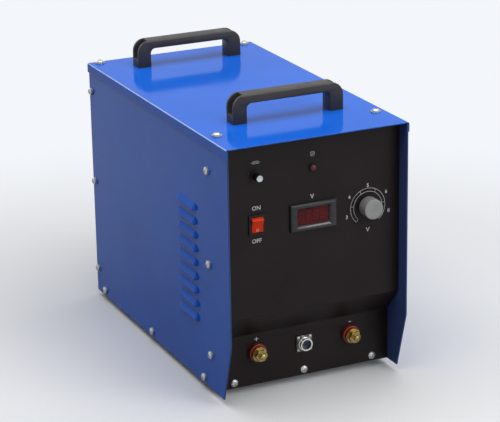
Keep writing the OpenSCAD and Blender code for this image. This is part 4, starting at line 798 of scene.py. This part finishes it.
# %% Words and poles
switch_x, control_z, indicator_z = -92.4 * mm, knob_z, 355.82 * mm
word_size, word_step, volt_size = 9 * mm, 25.5 * mm, 10 * mm
meter_volt_x, meter_volt_up, knob_volt_down = -1 * mm, 29.5 * mm, 38 * mm
pole_x, plus_z, minus_z = 79.8 * mm, 84.5 * mm, 85 * mm
plus_size, minus_size = 13 * mm, 15 * mm
words = join("panel_words", [
    ink_word("ON", word_size, switch_x, control_z + word_step),
    ink_word("OFF", word_size, switch_x, control_z - word_step),
    ink_word("V", volt_size, meter_volt_x, control_z + meter_volt_up),
    ink_word("V", volt_size, knob_x, control_z - knob_volt_down),
])
stand_up(words, 0, upper_face, 0)
print_on(words)

pole_signs = join("pole_signs", [
    ink_word("+", plus_size, -pole_x, plus_z),
    ink_word("-", minus_size, pole_x, minus_z),
])
stand_up(pole_signs, 0, lower_face, 0)
print_on(pole_signs)

# %% Circuit signs
sign_up = 21 * mm
sign_z = indicator_z + sign_up
fuse_w, fuse_h, lead_w = 9 * mm, 3.6 * mm, 15 * mm
ring_r, ring_sides, cross_w = 3.8 * mm, 40, 6.6 * mm


def ink_ring(x, y, radius):
    nothing_selected()
    bpy.ops.mesh.primitive_circle_add(radius=radius, vertices=ring_sides, fill_type="NGON",
                                      location=(x, y, 0))
    obj = bpy.context.object
    apply_place(obj)
    edit(obj)
    bpy.ops.mesh.select_all(action="SELECT")
    bpy.ops.mesh.inset(thickness=line)
    bpy.ops.mesh.delete(type="FACE")
    bpy.ops.object.mode_set(mode="OBJECT")
    return obj


signs = [ink_line(switch_x, sign_z, lead_w, line)]
for side in (1, -1):
    signs.append(ink_line(switch_x, sign_z + side * fuse_h / 2, fuse_w, line))
for side in (-1, 1):
    signs.append(ink_line(switch_x + side * fuse_w / 2, sign_z, line, fuse_h + line))
signs.append(ink_ring(0, sign_z, ring_r))
for slant in (45, -45):
    signs.append(ink_line(0, sign_z, cross_w, line, slant))
circuit_signs = join("circuit_signs", signs)
thicken(circuit_signs, ink_film)
stand_up(circuit_signs, 0, upper_face, 0)
print_on(circuit_signs)

# %% [markdown]
# ## Lamp lens
# The lamp's lens is a dark red dome whose edge laps over the black rim that holds
# it. The CAD lens ends at the bore, so the dome of a rounded copy is pushed out by
# a hair, and spread about the lamp's axis until it covers most of the rim.

# %% Lamp lens
lens_spread = 1.3
lamp_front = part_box("lamp_bezel")[0].y
lens_cap = rounded_copy("lamp_lens", "lens_cap", radius=0.3 * mm, segments=2)
edit(lens_cap)
pick(lens_cap, "FACE", lambda face: face.calc_center_median().y < lamp_front)
bpy.ops.mesh.extrude_region_move(TRANSFORM_OT_translate={"value": (0, -ink_gap, 0)})
bpy.ops.transform.resize(value=(lens_spread, 1, lens_spread),
                         center_override=(0, lamp_front, indicator_z))
bpy.ops.object.mode_set(mode="OBJECT")
bpy.ops.object.shade_smooth_by_angle(angle=smooth_to)
print("lens", round(lens_cap.dimensions.x / mm, 2), "mm wide")

# %% [markdown]
# ## Meter frame
# The meter's frame is moulded too, so its edges are rounded in the same way. Four
# slopes lead in to the window. The lower one is polished and mirrors the light from
# above as a bright line. It is picked by place and by slant, and gets a second
# finish that differs from the first in little but its gloss.

# %% Meter frame
finish("bezel_gloss", (0.030, 0.030, 0.031), (0.044, 0.044, 0.046), (0.12, 0.18),
       drift=40, grain=1800, depth=0.006, Specular_IOR_Level=0.9)
slope_x, slope_z = 28.6 * mm, 15.6 * mm
steepest, flattest, upward = -0.2, -0.95, 0.2
meter_frame = rounded_copy("meter_case", "meter_frame", radius=0.3 * mm, segments=2)
meter_frame.data.materials.append(finishes["bezel_gloss"])


def leads_in(face):
    mid = face.calc_center_median()
    near = abs(mid.x) < slope_x and abs(mid.z - control_z) < slope_z
    return near and flattest < face.normal.y < steepest and face.normal.z > upward


edit(meter_frame)
pick(meter_frame, "FACE", leads_in)
meter_frame.active_material_index = 1
bpy.ops.object.material_slot_assign()
bpy.ops.object.mode_set(mode="OBJECT")
print("polished faces:", sum(face.material_index for face in meter_frame.data.polygons))

# %% [markdown]
# ## Meter digits
# Behind the red window sit four digit blocks, each with seven bars and a point.
# Unlit, the bars are only a little paler than the block, so they show as faint
# ghosts. One bar is a plate with its corners cut to a tip; bars laid out as an
# eight make a digit, and four digits make the row.

# %% Digit bars
finish("digit_bar", (0.60, 0.42, 0.40), (0.72, 0.52, 0.50), (0.4, 0.5), drift=200, grain=1500)
digits, digit_step, digit_set = 4, 11.5 * mm, 0.8 * mm
digit_w, digit_h, bar_w, bar_gap = 6.0 * mm, 12.5 * mm, 1.25 * mm, 0.5 * mm
bar_film, bar_depth, point_step, tip_share = 0.2 * mm, 0.4 * mm, 1.9 * mm, 0.48


def digit_bar(x, y, long, upright_bar):
    nothing_selected()
    bpy.ops.mesh.primitive_plane_add(size=1)
    obj = bpy.context.object
    obj.scale = (long, bar_w, 1)
    apply_place(obj)
    edit(obj)
    bpy.ops.mesh.select_all(action="SELECT")
    bpy.ops.mesh.bevel(affect="VERTICES", offset=tip_share * bar_w)
    bpy.ops.object.mode_set(mode="OBJECT")
    obj.rotation_euler.z = math.pi / 2 if upright_bar else 0
    obj.location = (x, y, 0)
    apply_place(obj)
    return obj


bars = []
for i in range(digits):
    mid = (i - (digits - 1) / 2) * digit_step - digit_set
    for y in (-digit_h / 2, 0, digit_h / 2):
        bars.append(digit_bar(mid, y, digit_w - bar_gap, False))
    for x in (-digit_w / 2, digit_w / 2):
        for y in (-digit_h / 4, digit_h / 4):
            bars.append(digit_bar(mid + x, y, digit_h / 2 - bar_gap, True))
    bars.append(digit_bar(mid + digit_w / 2 + point_step, -digit_h / 2, bar_w, False))
digit_bars = join("digit_bars", bars)
thicken(digit_bars, bar_film)
stand_up(digit_bars, 0, upper_face + bar_depth, control_z)
close_up(digit_bars)
coat(digit_bars, finishes["digit_bar"])
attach(digit_bars, "case")
print("digits:", len(digit_bars.data.polygons), "faces")

# %% [markdown]
# The blocks themselves are rounded copies of the CAD ones. Their fronts are set
# back by half a millimetre, which leaves room for the bars behind the window.

# %% Digit blocks
finish("digit_face", (0.035, 0.032, 0.032), (0.055, 0.050, 0.050), (0.5, 0.6),
       drift=90, grain=1500)
front_zone, set_back = 1 * mm, 0.5 * mm
digit_blocks = rounded_copy("meter_display", "digit_blocks", radius=0.25 * mm, segments=2)
edit(digit_blocks)
pick(digit_blocks, "VERT", lambda v: v.co.y < upper_face + front_zone)
bpy.ops.transform.translate(value=(0, set_back, 0))
bpy.ops.object.mode_set(mode="OBJECT")
digit_blocks.material_slots[0].material = finishes["digit_face"]

# %% [markdown]
# ## Rocker
# The rocker is a glossy red moulding. Its edges are rounded like those of the
# handles, and it carries a ring, the sign for off, near its lower end. The place
# of the ring is found by shooting a ray at the rocker.

# %% Rocker
mark_drop, mark_r, ray_from = 7.0 * mm, 2.1 * mm, -0.4
rocker = rounded_copy("rocker", "rocker_cap", radius=0.5 * mm, segments=3)


def on_rocker(obj, z, lift):
    bpy.context.view_layer.update()
    _, spot, normal, _ = rocker.ray_cast(Vector((switch_x, ray_from, z)), Vector((0, 1, 0)))
    leaning = normal.to_track_quat("Z", "Y").to_matrix().to_4x4()
    obj.matrix_world = Matrix.Translation(spot + normal * lift) @ leaning
    apply_place(obj)
    print("mark on the rocker faces", [round(v, 4) for v in normal])


ring = ink_ring(0, 0, mark_r)
ring.name = "rocker_mark"
thicken(ring, ink_film)
on_rocker(ring, control_z - mark_drop, ink_gap)
print_on(ring, "rocker")
